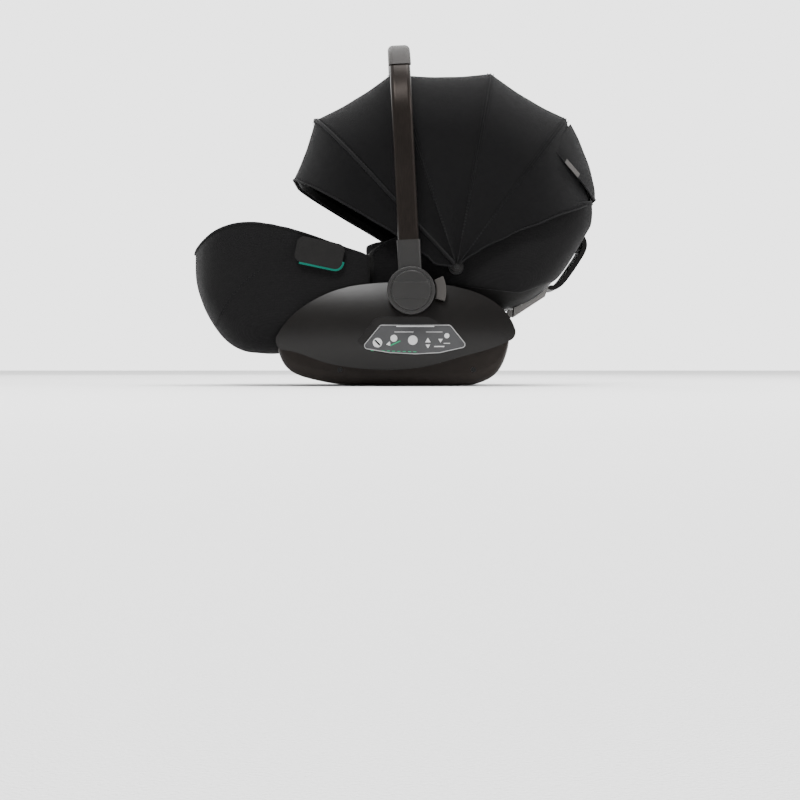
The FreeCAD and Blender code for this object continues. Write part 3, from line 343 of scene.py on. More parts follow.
def smooth_path(points, count, closed=False):
    """Points along a smooth curve through a few chosen ones."""
    points = [Vector(p) for p in points]
    last = len(points) - 1

    def at(n):
        return points[n % len(points)] if closed else points[max(0, min(n, last))]

    spans = len(points) if closed else last
    path = []
    for k in range(count if closed else count + 1):
        t = k / count * spans
        n = min(int(t), spans - 1)
        f = t - n
        a, b, c, d = at(n - 1), at(n), at(n + 1), at(n + 2)
        path.append(0.5 * (2 * b + (c - a) * f + (2 * a - 5 * b + 4 * c - d) * f * f
                           + (3 * b - a - 3 * c + d) * f ** 3))
    return path


def tube(name, path, radius, finish, body=None, sides=8, closed=False):
    """A round cord or piping along a path."""
    curve = bpy.data.curves.new(name, "CURVE")
    curve.dimensions = "3D"
    curve.bevel_depth = radius
    curve.bevel_resolution = max(sides // 4 - 1, 1)
    curve.use_fill_caps = not closed
    spline = curve.splines.new("POLY")
    spline.points.add(len(path) - 1)
    for point, at in zip(spline.points, path):
        point.co = (*at, 1.0)
    spline.use_cyclic_u = closed
    holder = bpy.data.objects.new(name + "_route", curve)
    bpy.context.scene.collection.objects.link(holder)
    bpy.context.view_layer.update()
    mesh = bpy.data.meshes.new_from_object(holder.evaluated_get(
        bpy.context.evaluated_depsgraph_get()))
    bpy.data.objects.remove(holder)
    bpy.data.curves.remove(curve)
    bm = bmesh.new()
    bm.from_mesh(mesh)
    bpy.data.meshes.remove(mesh)
    bmesh.ops.remove_doubles(bm, verts=bm.verts, dist=1e-6)
    return piece(name, bm, finish, body)


def stitches(name, path, body, length=0.0032, gap=0.0022, width=0.00045, finish="thread"):
    """A row of thread stitches along a path: one small lozenge each."""
    bm = bmesh.new()
    carried, step = 0.0, length + gap
    for a, b in zip(path, path[1:]):
        span = (b - a).length
        if span < 1e-6:
            continue
        along = (b - a) / span
        while carried < span:
            turn = along.to_track_quat("X", "Z").to_matrix().to_4x4()
            place = Matrix.Translation(a + along * carried) @ turn
            place = place @ Matrix.Diagonal((length / 2, width, width, 1.0))
            bmesh.ops.create_icosphere(bm, subdivisions=1, radius=1.0, matrix=place)
            carried += step
        carried -= span
    return piece(name, bm, finish, body)


def cast(tree, point, direction, lift):
    """Where a ray meets a surface, lifted a little off it."""
    hit, normal, _, _ = tree.ray_cast(Vector(point), Vector(direction))
    if hit is None:
        return None
    if normal.dot(Vector(direction)) > 0:
        normal = -normal
    return hit + normal * lift


def surface_of(obj):
    bm = bmesh.new()
    bm.from_object(obj, bpy.context.evaluated_depsgraph_get())
    return BVHTree.FromBMesh(bm)


def build_springs():
    """Both return springs: the CAD piece split into one spring for each side."""
    low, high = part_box("button_springs")
    for word, side in SIDES.items():
        bm = bmesh.new()
        bm.from_mesh(frame["nodes"]["button_springs"].data)
        bmesh.ops.delete(bm, geom=[v for v in bm.verts if v.co.y * side < 0], context="VERTS")
        spring = piece(f"button_spring_{word}", bm, "steel", "carrier")
        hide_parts("button_springs")
        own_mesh(spring)


build_springs()


# ---- canopy --------------------------------------------------------------------------------
def bow_form(node):
    """A bow's angle about the pivot in degrees, and how far its crown reaches."""
    points = [v.co for v in frame["nodes"][node].data.vertices]
    far = {p.freeze(): math.hypot(p.x - PIVOT.x, p.z - PIVOT.z) for p in map(Vector, points)}
    reach = max(far.values())
    crown = [p for p, r in far.items() if r > reach - 0.0045]
    x, z = (sum(p[k] for p in crown) / len(crown) for k in (0, 2))
    return math.degrees(math.atan2(z - PIVOT.z, x - PIVOT.x)), reach


CORNER = 0.118                  # radius of the canopy's shoulders
SKIN_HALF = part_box("canopy_panel_middle")[1][1]
SKIN_LIFT = 0.0024              # from a bow to the middle of the cloth over it
FABRIC = 0.0014                 # thickness of the cloth
FOOT_SHARE = 0.006              # share of an arch left off at each foot
PANEL_FILL = 0.72               # share of its flat rectangle that a tapering panel fills
TAIL_ANGLE, TAIL_REACH = 26.5, 0.251


def arch(half, reach, corner, s):
    """A point on an arch and its outward direction, as (across, out), for s from 0 to 1."""
    leg, bend, top = reach - corner, corner * math.pi / 2, 2 * (half - corner)
    total = 2 * (leg + bend) + top
    d = s * total
    flip = 1.0
    if d > total / 2:
        d, flip = total - d, -1.0
    if d < leg:
        y, r, ny, nr = -half, d, -1.0, 0.0
    elif d < leg + bend:
        a = (d - leg) / corner
        y, r = -half + corner - corner * math.cos(a), leg + corner * math.sin(a)
        ny, nr = -math.cos(a), math.sin(a)
    else:
        y, r, ny, nr = -half + corner + (d - leg - bend), reach, 0.0, 1.0
    return y * flip, r, ny * flip, nr


class Edge:
    """One side of a canopy panel: an arch whose angle may change with distance from the pivot."""

    def __init__(self, reach, angles, half=SKIN_HALF, corner=CORNER):
        self.reach, self.angles, self.half, self.corner = reach, angles, half, corner

    def angle(self, r):
        table = self.angles
        if not isinstance(table, list):
            return table
        share = r / self.reach
        for (a, first), (b, second) in zip(table, table[1:]):
            if share <= b:
                t = max((share - a) / (b - a), 0.0)
                t = t * t * (3 - 2 * t)
                return first + (second - first) * t
        return table[-1][1]

    def point(self, s):
        y, r, ny, nr = arch(self.half, self.reach, self.corner, s)
        return y, r, math.radians(self.angle(r)), ny, nr


def placed(y, r, angle):
    return Vector((PIVOT.x + r * math.cos(angle), y, PIVOT.z + r * math.sin(angle)))


def panel(name, low, high, sag, start=FOOT_SHARE, around=120, across=14):
    """One sewn panel between two edges, drawn in slightly between its bows."""
    bm = bmesh.new()
    bmesh.ops.create_grid(bm, x_segments=around, y_segments=across, size=0.5)
    layer = bm.loops.layers.uv.new("cloth")
    bm.verts.ensure_lookup_table()
    flat = {}
    for v in bm.verts:
        s, t = v.co.x + 0.5, v.co.y + 0.5
        s = start + (1 - 2 * start) * s
        ya, ra, aa, ny, nr = low.point(s)
        yb, rb, ab, _, _ = high.point(s)
        y, r, angle = ya + (yb - ya) * t, ra + (rb - ra) * t, aa + (ab - aa) * t
        spread = abs(ab - aa)
        if ra > 1e-4 and rb > 1e-4 and 1e-3 < spread < 3.0:
            chord = ra * rb * math.sin(spread) / (
                ra * math.sin(spread * t) + rb * math.sin(spread * (1 - t)))
            if nr > 0:
                r = r + (chord - r) * nr ** 0.5
        pull = sag * 4 * t * (1 - t) * (0.35 + 0.65 * min(r / 0.25, 1.0))
        pull += 0.0006 * math.sin(math.pi * t) * noise.noise(Vector((s * 14, t * 5, sag * 900)))
        flat[v] = (s * 1.1, (t * spread) * max(r, 0.02))
        v.co = placed(y - ny * pull, r - nr * pull, angle)
    for face in bm.faces:
        for loop in face.loops:
            loop[layer].uv = flat[loop.vert]
    bmesh.ops.recalc_face_normals(bm, faces=bm.faces)
    above = placed(0, high.reach, 1.6)
    crown = min(bm.faces, key=lambda f: (f.calc_center_median() - above).length)
    if crown.normal.dot(crown.calc_center_median() - PIVOT) < 0:
        bmesh.ops.reverse_faces(bm, faces=bm.faces)
    area = sum(f.calc_area() for f in bm.faces)
    obj = piece(name, bm, "canopy")
    thicken(obj, FABRIC)
    return obj, area


def edge_path(edge, lift=0.0, start=FOOT_SHARE, count=160):
    """Points along a panel's edge from foot to foot, a little off the cloth."""
    path = []
    for k in range(count + 1):
        s = start + (1 - 2 * start) * k / count
        y, r, angle, ny, nr = edge.point(s)
        path.append(placed(y + ny * lift, r + nr * lift, angle))
    return path


BOWS = {node: bow_form(node) for node in (
    "canopy_bow_rear", "canopy_bow_middle_rear", "canopy_bow_middle_front",
    "canopy_bow_front", "visor_bow")}
EDGES = {node: Edge(reach + SKIN_LIFT, angle) for node, (angle, reach) in BOWS.items()}
HEM_ANGLE, HEM_REACH = BOWS["visor_bow"]
EDGES["hem"] = Edge(HEM_REACH + SKIN_LIFT, [
    (0.0, 178.0), (0.10, 175.0), (0.17, 160.0), (0.27, 153.5), (0.42, HEM_ANGLE + 2.6),
    (0.62, HEM_ANGLE + 2.0), (0.80, HEM_ANGLE + 1.8), (1.0, HEM_ANGLE + 1.8)])
EDGES["tail"] = Edge(TAIL_REACH + SKIN_LIFT, [
    (0.0, 42.0), (0.17, 35.0), (0.37, 30.5), (0.63, 27.0), (0.9, 25.5), (1.0, TAIL_ANGLE - 1.0)],
    half=SKIN_HALF - 0.001)

PANELS = [
    # name, body, other body, low edge, high edge, sag, CAD node
    ("canopy_rear_cloth", "backrest", None, "tail", "canopy_bow_rear", 0.004, "canopy_rear_panel"),
    ("canopy_back_cloth", "backrest", "canopy_middle_rear", "canopy_bow_rear",
     "canopy_bow_middle_rear", 0.0045, "canopy_panel_rear"),
    ("canopy_top_cloth", "canopy_middle_rear", "canopy_middle_front", "canopy_bow_middle_rear",
     "canopy_bow_middle_front", 0.005, "canopy_panel_middle"),
    ("canopy_brow_cloth", "canopy_middle_front", "canopy_front", "canopy_bow_middle_front",
     "canopy_bow_front", 0.0045, "canopy_panel_front"),
    ("visor_cloth", "canopy_front", "visor", "canopy_bow_front", "hem", 0.003, "visor_panel"),
]


def blend_between(obj, low, high):
    """Bake a panel's placement into its mesh, leaving it on no body."""
    a_angle = math.radians(low.angle(low.reach))
    b_angle = math.radians(high.angle(high.reach))
    r = 0.6 * min(low.reach, high.reach)
    placed(0, r, a_angle)
    placed(0, r, b_angle)
    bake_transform(obj)


SEAM_BODIES = {
    "canopy_bow_rear": "backrest", "canopy_bow_middle_rear": "canopy_middle_rear",
    "canopy_bow_middle_front": "canopy_middle_front", "canopy_bow_front": "canopy_front",
    "hem": "visor", "tail": "backrest"}
PIPING_R = {"canopy_bow_front": 0.0032, "hem": 0.0016, "tail": 0.0014}
THIN_PIPING_R = 0.0007


def shifted(edge, turn):
    """The same edge turned about the pivot by some degrees."""
    angles = edge.angles
    if isinstance(angles, list):
        angles = [(share, angle + turn) for share, angle in angles]
    else:
        angles = angles + turn
    return Edge(edge.reach, angles, edge.half, edge.corner)


def build_canopy():
    """The five cloth panels, and the piping and double stitching along their edges."""
    for name, body, other, low, high, sag, node in PANELS:
        obj, area = panel(name, EDGES[low], EDGES[high], sag)
        settle(obj)
        wide = max(EDGES[low].reach, EDGES[high].reach) * 2 + 2 * SKIN_HALF
        long = area / wide / PANEL_FILL
        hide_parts(node)
        low if low in BOWS else "back_cover_cloth"
        high if high in BOWS else "visor_bow"
        if other:
            blend_between(obj, EDGES[low], EDGES[high])
        else:
            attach(obj, body)
    for edge, body in SEAM_BODIES.items():
        seam = tube(edge + "_piping", edge_path(EDGES[edge], 0.0002),
                    PIPING_R.get(edge, THIN_PIPING_R), "piping", body)
        apart = 0.6 if edge in ("hem", "tail") else 0.9
        for side in (-1, 1):
            if (edge, side) in (("hem", 1), ("tail", -1)):
                continue
            path = edge_path(shifted(EDGES[edge], side * apart), 0.0001, 0.05)
            stitches(f"{edge}_stitches_{side + 1}", path, body)


build_canopy()


# ---- shell covers --------------------------------------------------------------------------
def ring_points(x, low, high, half, low_r, high_r):
    """A rounded rectangle across the object, always with the same number of points."""
    points = []

    def line(a, b, count):
        for k in range(count):
            t = k / count
            points.append((a[0] + (b[0] - a[0]) * t, a[1] + (b[1] - a[1]) * t))

    def bend(y, z, r, start, count):
        for k in range(count):
            a = math.radians(start + 90 * k / count)
            points.append((y + r * math.cos(a), z + r * math.sin(a)))

    counts = SIDE_COUNTS
    line((-half + low_r, low), (half - low_r, low), counts[0])
    bend(half - low_r, low + low_r, low_r, -90, counts[1])
    line((half, low + low_r), (half, high - high_r), counts[2])
    bend(half - high_r, high - high_r, high_r, 0, counts[3])
    line((half - high_r, high), (-half + high_r, high), counts[4])
    bend(-half + high_r, high - high_r, high_r, 90, counts[5])
    line((-half, high - high_r), (-half, low + low_r), counts[6])
    bend(-half + low_r, low + low_r, low_r, 180, counts[7])
    return [Vector((x, y, z)) for y, z in points]


SIDE_COUNTS = (24, 10, 16, 6, 24, 6, 16, 10)    # ring points along each side and corner
TOP_FIRST, TOP_LAST = sum(SIDE_COUNTS[:3]) + 2, sum(SIDE_COUNTS[:6]) - 1


def lofted(stations, grow, count, closed):
    """Smoothly spaced rings bridged along the object, with one end closed."""
    spaced = zip(smooth_path([s[:3] for s in stations], count),
                 smooth_path([s[3:] for s in stations], count))
    bm = bmesh.new()
    rings = []
    for a, b in spaced:
        (x, low, high), (half, low_r, high_r) = a * MM, b * MM
        points = ring_points(x, low - grow, high + grow, half + grow, low_r + grow, high_r + grow)
        made = bmesh.ops.create_circle(bm, segments=len(points), radius=1.0)["verts"]
        for v, co in zip(made, points):
            v.co = co
        rings.append(made)
    loops = []
    for ring in rings:
        known = set(ring)
        loops.append(list({e for v in ring for e in v.link_edges if e.other_vert(v) in known}))
    for a, b in zip(loops, loops[1:]):
        bmesh.ops.bridge_loops(bm, edges=a + b)
    cap = bmesh.ops.contextual_create(bm, geom=rings[closed])["faces"]
    for _ in range(5):
        bmesh.ops.inset_region(bm, faces=cap, thickness=0.004, use_even_offset=False)
    bmesh.ops.poke(bm, faces=cap)
    bmesh.ops.recalc_face_normals(bm, faces=bm.faces)
    return bm, rings


# From the foot end to the head end, in mm: x, underside, top, half width, lower and upper radius.
LEG_STATIONS = [
    (-337, 190, 218, 62, 13, 13), (-335, 172, 229, 84, 27, 24), (-322, 131, 246, 118, 44, 34),
    (-294, 86, 262, 145, 50, 26), (-255, 58, 268.5, 158.5, 50, 18), (-209, 54.5, 265, 164.5, 50, 16),
    (-149, 60, 250, 164.5, 50, 16), (-98.5, 66, 232, 164.5, 50, 16), (-62, 71, 220, 164.5, 50, 16),
    (-47, 72, 212, 164.5, 50, 18),
]
LEG_SEAM = [(-298, 96), (-282, 124), (-258, 156), (-226, 184)]      # x and z
BACK_STATIONS = [
    (-52, 132, 214, 140.6, 30, 12), (1, 121, 245, 140.6, 34, 12), (58, 123, 249, 144.6, 46, 12),
    (126, 120, 255, 155, 62, 12), (192, 127, 271, 160, 62, 12), (251, 161, 289, 152, 56, 14),
    (293, 216, 303, 133, 38, 18), (310, 244, 306, 116, 28, 20), (317, 262, 307, 104, 20, 20),
]


COVER_LIFT = 0.0011             # from the CAD cover to the outside of the cloth
COVER_CLOTH = 0.0016
RIM_CORD_R = 0.0022


def cover(name, stations, foot_end, body, node, count=44):
    """A fabric cover drawn tight over the CAD cover: open on top, closed at one end."""
    tree = surface_of(frame["nodes"][node])
    end = 0 if foot_end else -1
    bm, rings = lofted(stations, 0.007, count, end)
    rimmed = rings[2:] if foot_end else rings[:-2]
    above = {v for ring in rimmed for v in ring[TOP_FIRST:TOP_LAST]}
    doomed = [f for f in bm.faces if all(v in above for v in f.verts)]
    bmesh.ops.delete(bm, geom=doomed, context="FACES")
    lift = {}
    for v in bm.verts:
        near, normal, _, _ = tree.find_nearest(v.co)
        outward = (v.co - near).normalized()
        ripple = noise.noise(v.co * 26) * 0.0007 + noise.noise(v.co * 70) * 0.00025
        lift[v] = near + outward * (COVER_LIFT + ripple)
    for v, co in lift.items():
        v.co = co
    for _ in range(2):
        bmesh.ops.smooth_vert(bm, verts=[v for v in bm.verts if not v.is_boundary], factor=0.3,
                              use_axis_x=True, use_axis_y=True, use_axis_z=True)
    tip_x = abs(stations[end][0]) * MM * 0.955
    tip = [v for v in bm.verts if not v.is_boundary and abs(v.co.x) > tip_x]
    for _ in range(10):
        bmesh.ops.smooth_vert(bm, verts=tip, factor=0.5, use_axis_x=True, use_axis_y=True,
                              use_axis_z=True)
    area = sum(f.calc_area() for f in bm.faces)
    paths = {word: [ring[k].co.copy() for ring in rimmed]
             for word, k in (("right", TOP_FIRST), ("left", TOP_LAST - 1))}
    obj = piece(name, bm, "cover")
    thicken(obj, COVER_CLOTH)
    subdivide(obj)
    settle(obj)
    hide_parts(node)
    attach(obj, body)
    for word, path in paths.items():
        cord = tube(f"{name}_rim_{word}", path, RIM_CORD_R, "piping", body)
    return obj, area


def seam_on(name, obj, points, body, step=60):
    """A felled seam on both sides of a cover: a fine cord with stitches on either side."""
    tree = surface_of(obj)
    for word, side in SIDES.items():
        for shift in (-0.0022, 0.0, 0.0022):
            path = []
            for x, _, z in smooth_path([(a * MM, 0, b * MM) for a, b in points], step):
                at = cast(tree, (x + shift, side * 0.4, z), (0, -side, 0), 0.0002)
                if at:
                    path.append(at)
            if shift:
                row = stitches(f"{name}_stitches_{word}_{int(shift > 0)}", path, body)
            else:
                row = tube(f"{name}_{word}", path, 0.0006, "piping", body)


leg_cover, leg_area = cover("leg_cover_cloth", LEG_STATIONS, True, "carrier", "leg_cover")
back_cover, back_area = cover("back_cover_cloth", BACK_STATIONS, False, "backrest", "back_cover")
seam_on("leg_cover_seam", leg_cover, LEG_SEAM, "carrier")


# ---- padding -------------------------------------------------------------------------------
SWELL_FRAMES = 20


def pad(name, node, finish, body, voxel=0.006, swell=4.0, cap=0.008):
    """A soft pad: the CAD solid rounded, blown up as sewn cloth and smoothed."""
    source = frame["nodes"][node]
    obj = bpy.data.objects.new(name, source.data.copy())
    bpy.context.scene.collection.objects.link(obj)
    obj.matrix_world = source.matrix_world.copy()
    bm = bmesh.new()
    bm.from_mesh(obj.data)
    bmesh.ops.remove_doubles(bm, verts=bm.verts, dist=2e-5)
    bm.to_mesh(obj.data)
    bm.free()
    remesh = obj.modifiers.new("even", "REMESH")
    remesh.mode, remesh.voxel_size = "VOXEL", voxel
    settle(obj)
    start = [v.co.copy() for v in obj.data.vertices]
    cloth = obj.modifiers.new("cloth", "CLOTH")
    cloth.settings.use_pressure = True
    cloth.settings.uniform_pressure_force = swell
    cloth.settings.effector_weights.gravity = 0.0
    cloth.settings.tension_stiffness = 12.0
    cloth.point_cache.frame_start = 1
    cloth.point_cache.frame_end = SWELL_FRAMES
    for tick in range(1, SWELL_FRAMES + 1):
        bpy.context.scene.frame_set(tick)
    settle(obj)
    bpy.context.scene.frame_set(1)
    for v, was in zip(obj.data.vertices, start):
        move = v.co - was
        if move.length > cap:
            v.co = was + move.normalized() * cap
    bm = bmesh.new()
    bm.from_mesh(obj.data)
    for _ in range(3):
        bmesh.ops.smooth_vert(bm, verts=bm.verts, factor=0.5, use_axis_x=True, use_axis_y=True,
                              use_axis_z=True)
    bm.to_mesh(obj.data)
    bm.free()
    obj.data.shade_smooth()
    obj.data.materials.clear()
    obj.data.materials.append(FINISH[finish])
    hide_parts(node)
    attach(obj, body)
    return obj


def quilt(name, obj, lines, body, step=40):
    """Stitched lines across a pad's top, each given by its ends seen from above."""
    tree = surface_of(obj)
    for n, (a, b) in enumerate(lines):
        path = []
        for k in range(step + 1):
            at = Vector(a).lerp(Vector(b), k / step) * MM
            hit = cast(tree, (at.x, at.y, 0.5), (0, 0, -1), 0.0001)
            if hit:
                path.append(hit)
        if len(path) > 2:
            stitches(f"{name}_{n}", path, body)


seat_pad = pad("seat_pad_cushion", "seat_pad", "pad", "carrier")
back_pad = pad("back_pad_cushion", "back_pad", "pad", "backrest")
pad("side_bolster_cushions", "side_bolsters", "pad", "backrest")
pad("headrest_cushion", "headrest_pad", "insert", "headrest", voxel=0.005)
for side_word in SIDES:
    pad(f"shoulder_pad_{side_word}_cushion", f"shoulder_pad_{side_word}", "insert", "backrest",
        voxel=0.004, cap=0.003)
quilt("seat_quilting", seat_pad, [((x, -110), (x, 110)) for x in range(-250, -90, 40)], "carrier")
quilt("back_quilting", back_pad, [((x, -100), (x, 100)) for x in range(-20, 180, 40)], "backrest")


# ---- webbing -------------------------------------------------------------------------------
WEB_THICK = 0.0014
ACROSS = Vector((0, 1, 0))


def strip(name, path, wide, across=6):
    """A flat ribbon along a path, its UV map in metres."""
    bm = bmesh.new()
    bmesh.ops.create_grid(bm, x_segments=len(path) - 1, y_segments=across, size=0.5)
    layer = bm.loops.layers.uv.new("cloth")
    lengths = [0.0]
    for a, b in zip(path, path[1:]):
        lengths.append(lengths[-1] + (b - a).length)
    flat = {}
    for v in bm.verts:
        n = round((v.co.x + 0.5) * (len(path) - 1))
        y = v.co.y * wide
        flat[v] = (y, lengths[n])
        v.co = path[n] + ACROSS * y
    for face in bm.faces:
        for loop in face.loops:
            loop[layer].uv = flat[loop.vert]
    bmesh.ops.recalc_face_normals(bm, faces=bm.faces)
    obj = piece(name, bm, "webbing")
    thicken(obj, WEB_THICK, offset=0.0)
    settle(obj)
    return obj, lengths[-1]


def middle_line(node, y, rows=24):
    """A ribbon's middle, halfway between its CAD solid's upper and lower faces."""
    tree = surface_of(frame["nodes"][node])
    low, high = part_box(node)
    line = []
    for k in range(rows + 1):
        x = low[0] + 1e-4 + (high[0] - low[0] - 2e-4) * k / rows
        top = cast(tree, (x, y, 1.0), (0, 0, -1), 0.0)
        bottom = cast(tree, (x, y, -1.0), (0, 0, 1), 0.0)
        if top and bottom:
            line.append((top + bottom) / 2)
    return line


def webbing(name, node, wide, body=None):
    """A woven strap along the middle of its CAD solid."""
    low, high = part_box(node)
    obj, length = strip(name, middle_line(node, (low[1] + high[1]) / 2), wide)
    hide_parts(node)
    if body:
        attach(obj, body)
    return obj


def build_webbing():
    webbing("crotch_webbing", "crotch_strap", 0.038, "carrier")
    webbing("adjuster_webbing", "adjuster_strap", 0.024, "carrier")
    for side in SIDES:
        obj = webbing(f"shoulder_webbing_{side}", f"shoulder_strap_{side}", 0.036)
        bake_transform(obj)


build_webbing()


# ---- canopy flap and its tag ---------------------------------------------------------------
# Rows of the flap from its seam down: degrees about the pivot, and reach in mm.
FLAP = [(51.5, 311.0), (47.0, 301.5), (42.1, 291.0), (36.0, 280.5), (29.3, 268.0), (26.5, 262.5)]
FLAP_ROWS = 24
FLAP_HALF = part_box("canopy_flap")[1][1]
SLANT = ((236, 392), (322, 304))        # x and z along the flap's slanting side edge, in mm


def build_flap():
    """The flap over the rear panel, cut on a slant at both sides, with a bound hem."""
    (x0, z0), (x1, z1) = SLANT
    slope = (z0 - z1) / (x1 - x0)
    shape = smooth_path([(a, r, 0) for a, r in FLAP], FLAP_ROWS)
    bm = bmesh.new()
    bmesh.ops.create_grid(bm, x_segments=100, y_segments=FLAP_ROWS, size=0.5)
    layer = bm.loops.layers.uv.new("cloth")
    flat = {}
    sides = {}
    for v in bm.verts:
        s, t = v.co.x + 0.5, v.co.y + 0.5
        angle, reach, _ = shape[round(t * FLAP_ROWS)]
        reach *= MM
        turn = math.radians(angle)
        edge = (z0 + slope * (x0 - PIVOT.x / MM) - PIVOT.z / MM) * MM
        edge = min(edge / (math.sin(turn) + slope * math.cos(turn)), reach - 0.002)
        leg = reach - CORNER
        from_foot = leg + CORNER * math.asin((edge - leg) / CORNER) if edge > leg else edge
        whole = 2 * leg + CORNER * math.pi + 2 * (FLAP_HALF - CORNER)
        start = from_foot / whole
        share = start + (1 - 2 * start) * s
        y, r, ny, nr = arch(FLAP_HALF, reach, CORNER, share)
        soft = 0.0012 * noise.noise(Vector((s * 9, t * 4, 3)))
        flat[v] = (share * whole, t * 0.12)
        v.co = placed(y + ny * soft, r + nr * soft, turn)
        if s in (0.0, 1.0) or t == 1.0:
            sides[s, t] = v
    hem = [v.co.copy() for k, v in sorted(sides.items()) if k[0] == 0.0]
    hem += [v.co.copy() for k, v in sorted(sides.items()) if k[1] == 1.0 and 0 < k[0] < 1]
    hem += [v.co.copy() for k, v in sorted(sides.items(), reverse=True) if k[0] == 1.0]
    for face in bm.faces:
        for loop in face.loops:
            loop[layer].uv = flat[loop.vert]
    area = sum(f.calc_area() for f in bm.faces)
    bmesh.ops.recalc_face_normals(bm, faces=bm.faces)
    if max(bm.faces, key=lambda f: f.calc_center_median().x).normal.x < 0:
        bmesh.ops.reverse_faces(bm, faces=bm.faces)
    obj = piece("canopy_flap_cloth", bm, "canopy")
    thicken(obj, 0.0018)
    settle(obj)
    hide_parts("canopy_flap")
    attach(obj, "backrest")
    cord = tube("canopy_flap_hem", hem, 0.0014, "piping", "backrest")


def build_tag():
    """The plain woven tape on the flap's edge, taken from its CAD solid and subdivided."""
    bm = bmesh.new()
    bm.from_mesh(frame["nodes"]["flap_tag"].data)
    bmesh.ops.remove_doubles(bm, verts=bm.verts, dist=2e-5)
    bmesh.ops.dissolve_limit(bm, angle_limit=0.05, verts=bm.verts, edges=bm.edges)
    bmesh.ops.subdivide_edges(bm, edges=bm.edges, cuts=3, use_grid_fill=True)
    layer = bm.loops.layers.uv.new("cloth")
    for face in bm.faces:
        for loop in face.loops:
            loop[layer].uv = (loop.vert.co.x, loop.vert.co.z)
    obj = piece("flap_tag_tape", bm, "tape", "backrest", smooth=False)
    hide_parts("flap_tag")


build_flap()
build_tag()


# ---- label art -----------------------------------------------------------------------------
LABEL_CORNERS = [(-50, 64), (-27, 92), (79, 92), (100, 66), (64, 58), (26, 56), (-14, 58)]
LABEL_R = 6.0
LABEL_OUT = -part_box("label_plates")[0][1]


def plate_outline(grow, side):
    """The label's outline with rounded corners, on one side's plate."""
    count = len(LABEL_CORNERS)
    path = []
    for n, corner in enumerate(LABEL_CORNERS):
        before, after = Vector(LABEL_CORNERS[n - 1]), Vector(LABEL_CORNERS[(n + 1) % count])
        at = Vector(corner)
        a, b = (at - before).normalized(), (after - at).normalized()
        first, last = Vector((-a.y, a.x)), Vector((-b.y, b.x))
        for k in range(5):
            out = first.lerp(last, k / 4).normalized()
            p = at + out * (LABEL_R + grow)
            path.append(Vector((p.x * MM, side * (LABEL_OUT + 0.0002), p.y * MM)))
    return path


def mark(name, bm, finish, side):
    """Printed marks: a thin relief on the label's face."""
    if side > 0:
        bmesh.ops.mirror(bm, geom=bm.verts[:] + bm.edges[:] + bm.faces[:], axis="Y",
                         merge_dist=-1.0)
        bmesh.ops.delete(bm, geom=[v for v in bm.verts if v.co.y < 0], context="VERTS")
    bmesh.ops.recalc_face_normals(bm, faces=bm.faces)
    obj = piece(name, bm, finish, "carrier", smooth=False)
    return obj


def printed(bm, shape, x, z, size, turn=0.0, flat=1.0):
    """One flat mark on the near label: a disc, a bar or a triangle."""
    place = Matrix.Translation((x * MM, -(LABEL_OUT + 0.00025), z * MM))
    place = place @ Matrix.Rotation(math.radians(turn), 4, "Y")
    place = place @ Matrix.Diagonal((size * MM, 0.00012, size * flat * MM, 1.0))
    if shape == "bar":
        bmesh.ops.create_cube(bm, size=1.0, matrix=place)
    else:
        stand = Matrix.Rotation(math.pi / 2, 4, "X")
        bmesh.ops.create_cone(bm, cap_ends=True, segments=24 if shape == "disc" else 3,
                              radius1=0.5, radius2=0.5, depth=1.0, matrix=place @ stand)


def build_label():
    """A generic guide: seats, belts and lines, with no words."""
    for word, side in SIDES.items():
        rim = tube(f"label_rim_{word}", plate_outline(-1.2, side), 0.0008, "label_rim", "carrier",
                   closed=True)
        white, green = bmesh.new(), bmesh.new()
        for x, z, size in ((-34, 69, 15), (-8, 76, 11), (22, 73, 15), (76, 80, 8)):
            printed(white, "disc", x, z, size)
        for x, z, size, turn in ((-16, 67, 9, 20), (46, 72, 10, 0), (66, 73, 8, 180),
                                 (46, 64, 8, 60)):
            printed(white, "triangle", x, z, size, turn)
        for x, z, size in ((26, 95, 60), (8, 86, 30), (56, 86, 26), (64, 63, 16), (76, 68, 10)):
            printed(white, "bar", x, z, size, 0.0, 0.03 if size > 20 else 0.1)
        printed(green, "bar", -34, 69, 12, 45, 0.22)
        printed(green, "bar", -6, 68, 18, -25, 0.1)
        for k in range(9):
            printed(green, "bar", -42 + 8.4 * k, 56.5 - 0.25 * k, 5.0, 0.0, 0.22)
        mark(f"label_marks_{word}", white, "label_ink", side)
        mark(f"label_lines_{word}", green, "label_green", side)


build_label()


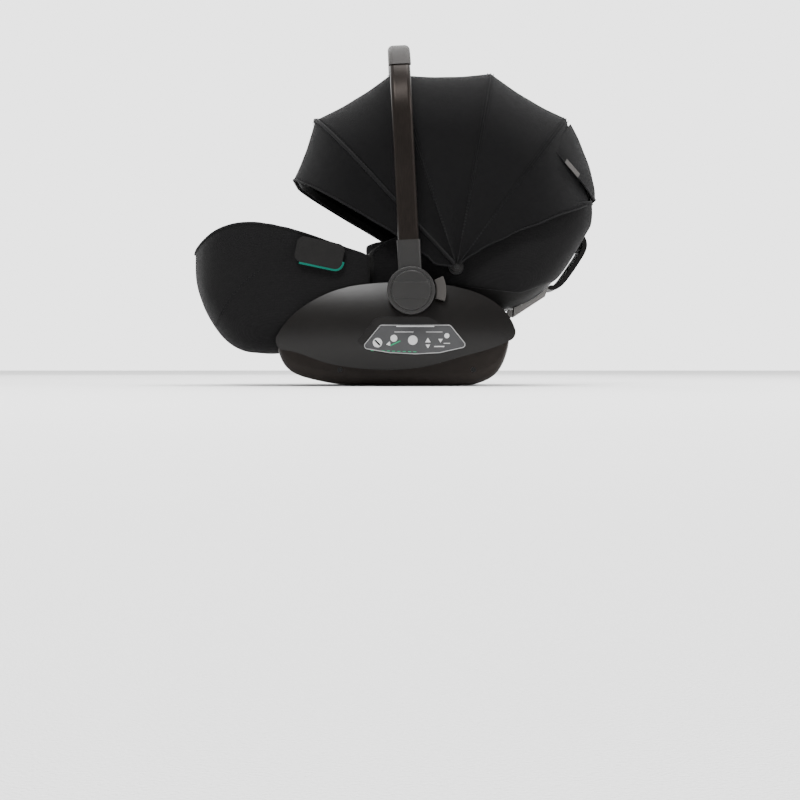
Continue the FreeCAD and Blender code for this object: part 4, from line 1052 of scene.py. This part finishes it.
# ---- the room, the light and the camera ----------------------------------------------------
LAMPS = [
    # name, place, size in m, power in W
    ("key", (-0.7, -2.3, 2.6), 1.1, 120), ("top", (0.5, 0.1, 3.2), 1.6, 110),
    ("rim", (2.4, -0.9, 1.5), 1.0, 45), ("back", (-0.6, 2.8, 1.8), 2.0, 40),
]
LIT = Vector((0, 0, 0.25))              # where the lamps point


def build_stage():
    """A pale floor, four soft lamps and a room that is darker on the camera's side."""
    bm = bmesh.new()
    bmesh.ops.create_grid(bm, x_segments=1, y_segments=1, size=9.0)
    floor = piece("studio_floor", bm, "floor", smooth=False)
    floor.location.z = -0.0004
    for name, at, size, power in LAMPS:
        light = bpy.data.lights.new(name, "AREA")
        light.energy, light.size = power, size
        lamp = bpy.data.objects.new(name, light)
        bpy.context.scene.collection.objects.link(lamp)
        lamp.location = at
        lamp.rotation_euler = (LIT - Vector(at)).to_track_quat("-Z", "Y").to_euler()
    world = bpy.data.worlds.new("studio")
    bpy.context.scene.world = world
    world.use_nodes = True
    tree = world.node_tree
    back = tree.nodes["Background"]
    way = tree.nodes.new("ShaderNodeTexCoord")
    split = tree.nodes.new("ShaderNodeSeparateXYZ")
    fade = tree.nodes.new("ShaderNodeMapRange")
    fade.interpolation_type = "SMOOTHSTEP"
    for socket, value in (("From Min", -0.6), ("From Max", 0.7), ("To Min", 0.5), ("To Max", 3.0)):
        fade.inputs[socket].default_value = value
    tree.links.new(way.outputs["Generated"], split.inputs[0])
    tree.links.new(split.outputs["Y"], fade.inputs["Value"])
    tree.links.new(fade.outputs["Result"], back.inputs["Strength"])
    back.inputs["Color"].default_value = (1.0, 1.0, 1.0, 1.0)


def build_camera():
    lens = bpy.data.cameras.new("side_camera")
    lens.lens, lens.shift_y = 74.1, -0.0425
    camera = bpy.data.objects.new("side_camera", lens)
    bpy.context.scene.collection.objects.link(camera)
    camera.location = (0.0017, -2.8, 0.032)
    camera.rotation_euler = (math.pi / 2, 0, 0)
    bpy.context.scene.camera = camera


FINISH["floor"] = moulded("studio_paper", (0.78, 0.78, 0.78), (0.86, 0.86, 0.86), 0.8)
build_stage()
build_camera()
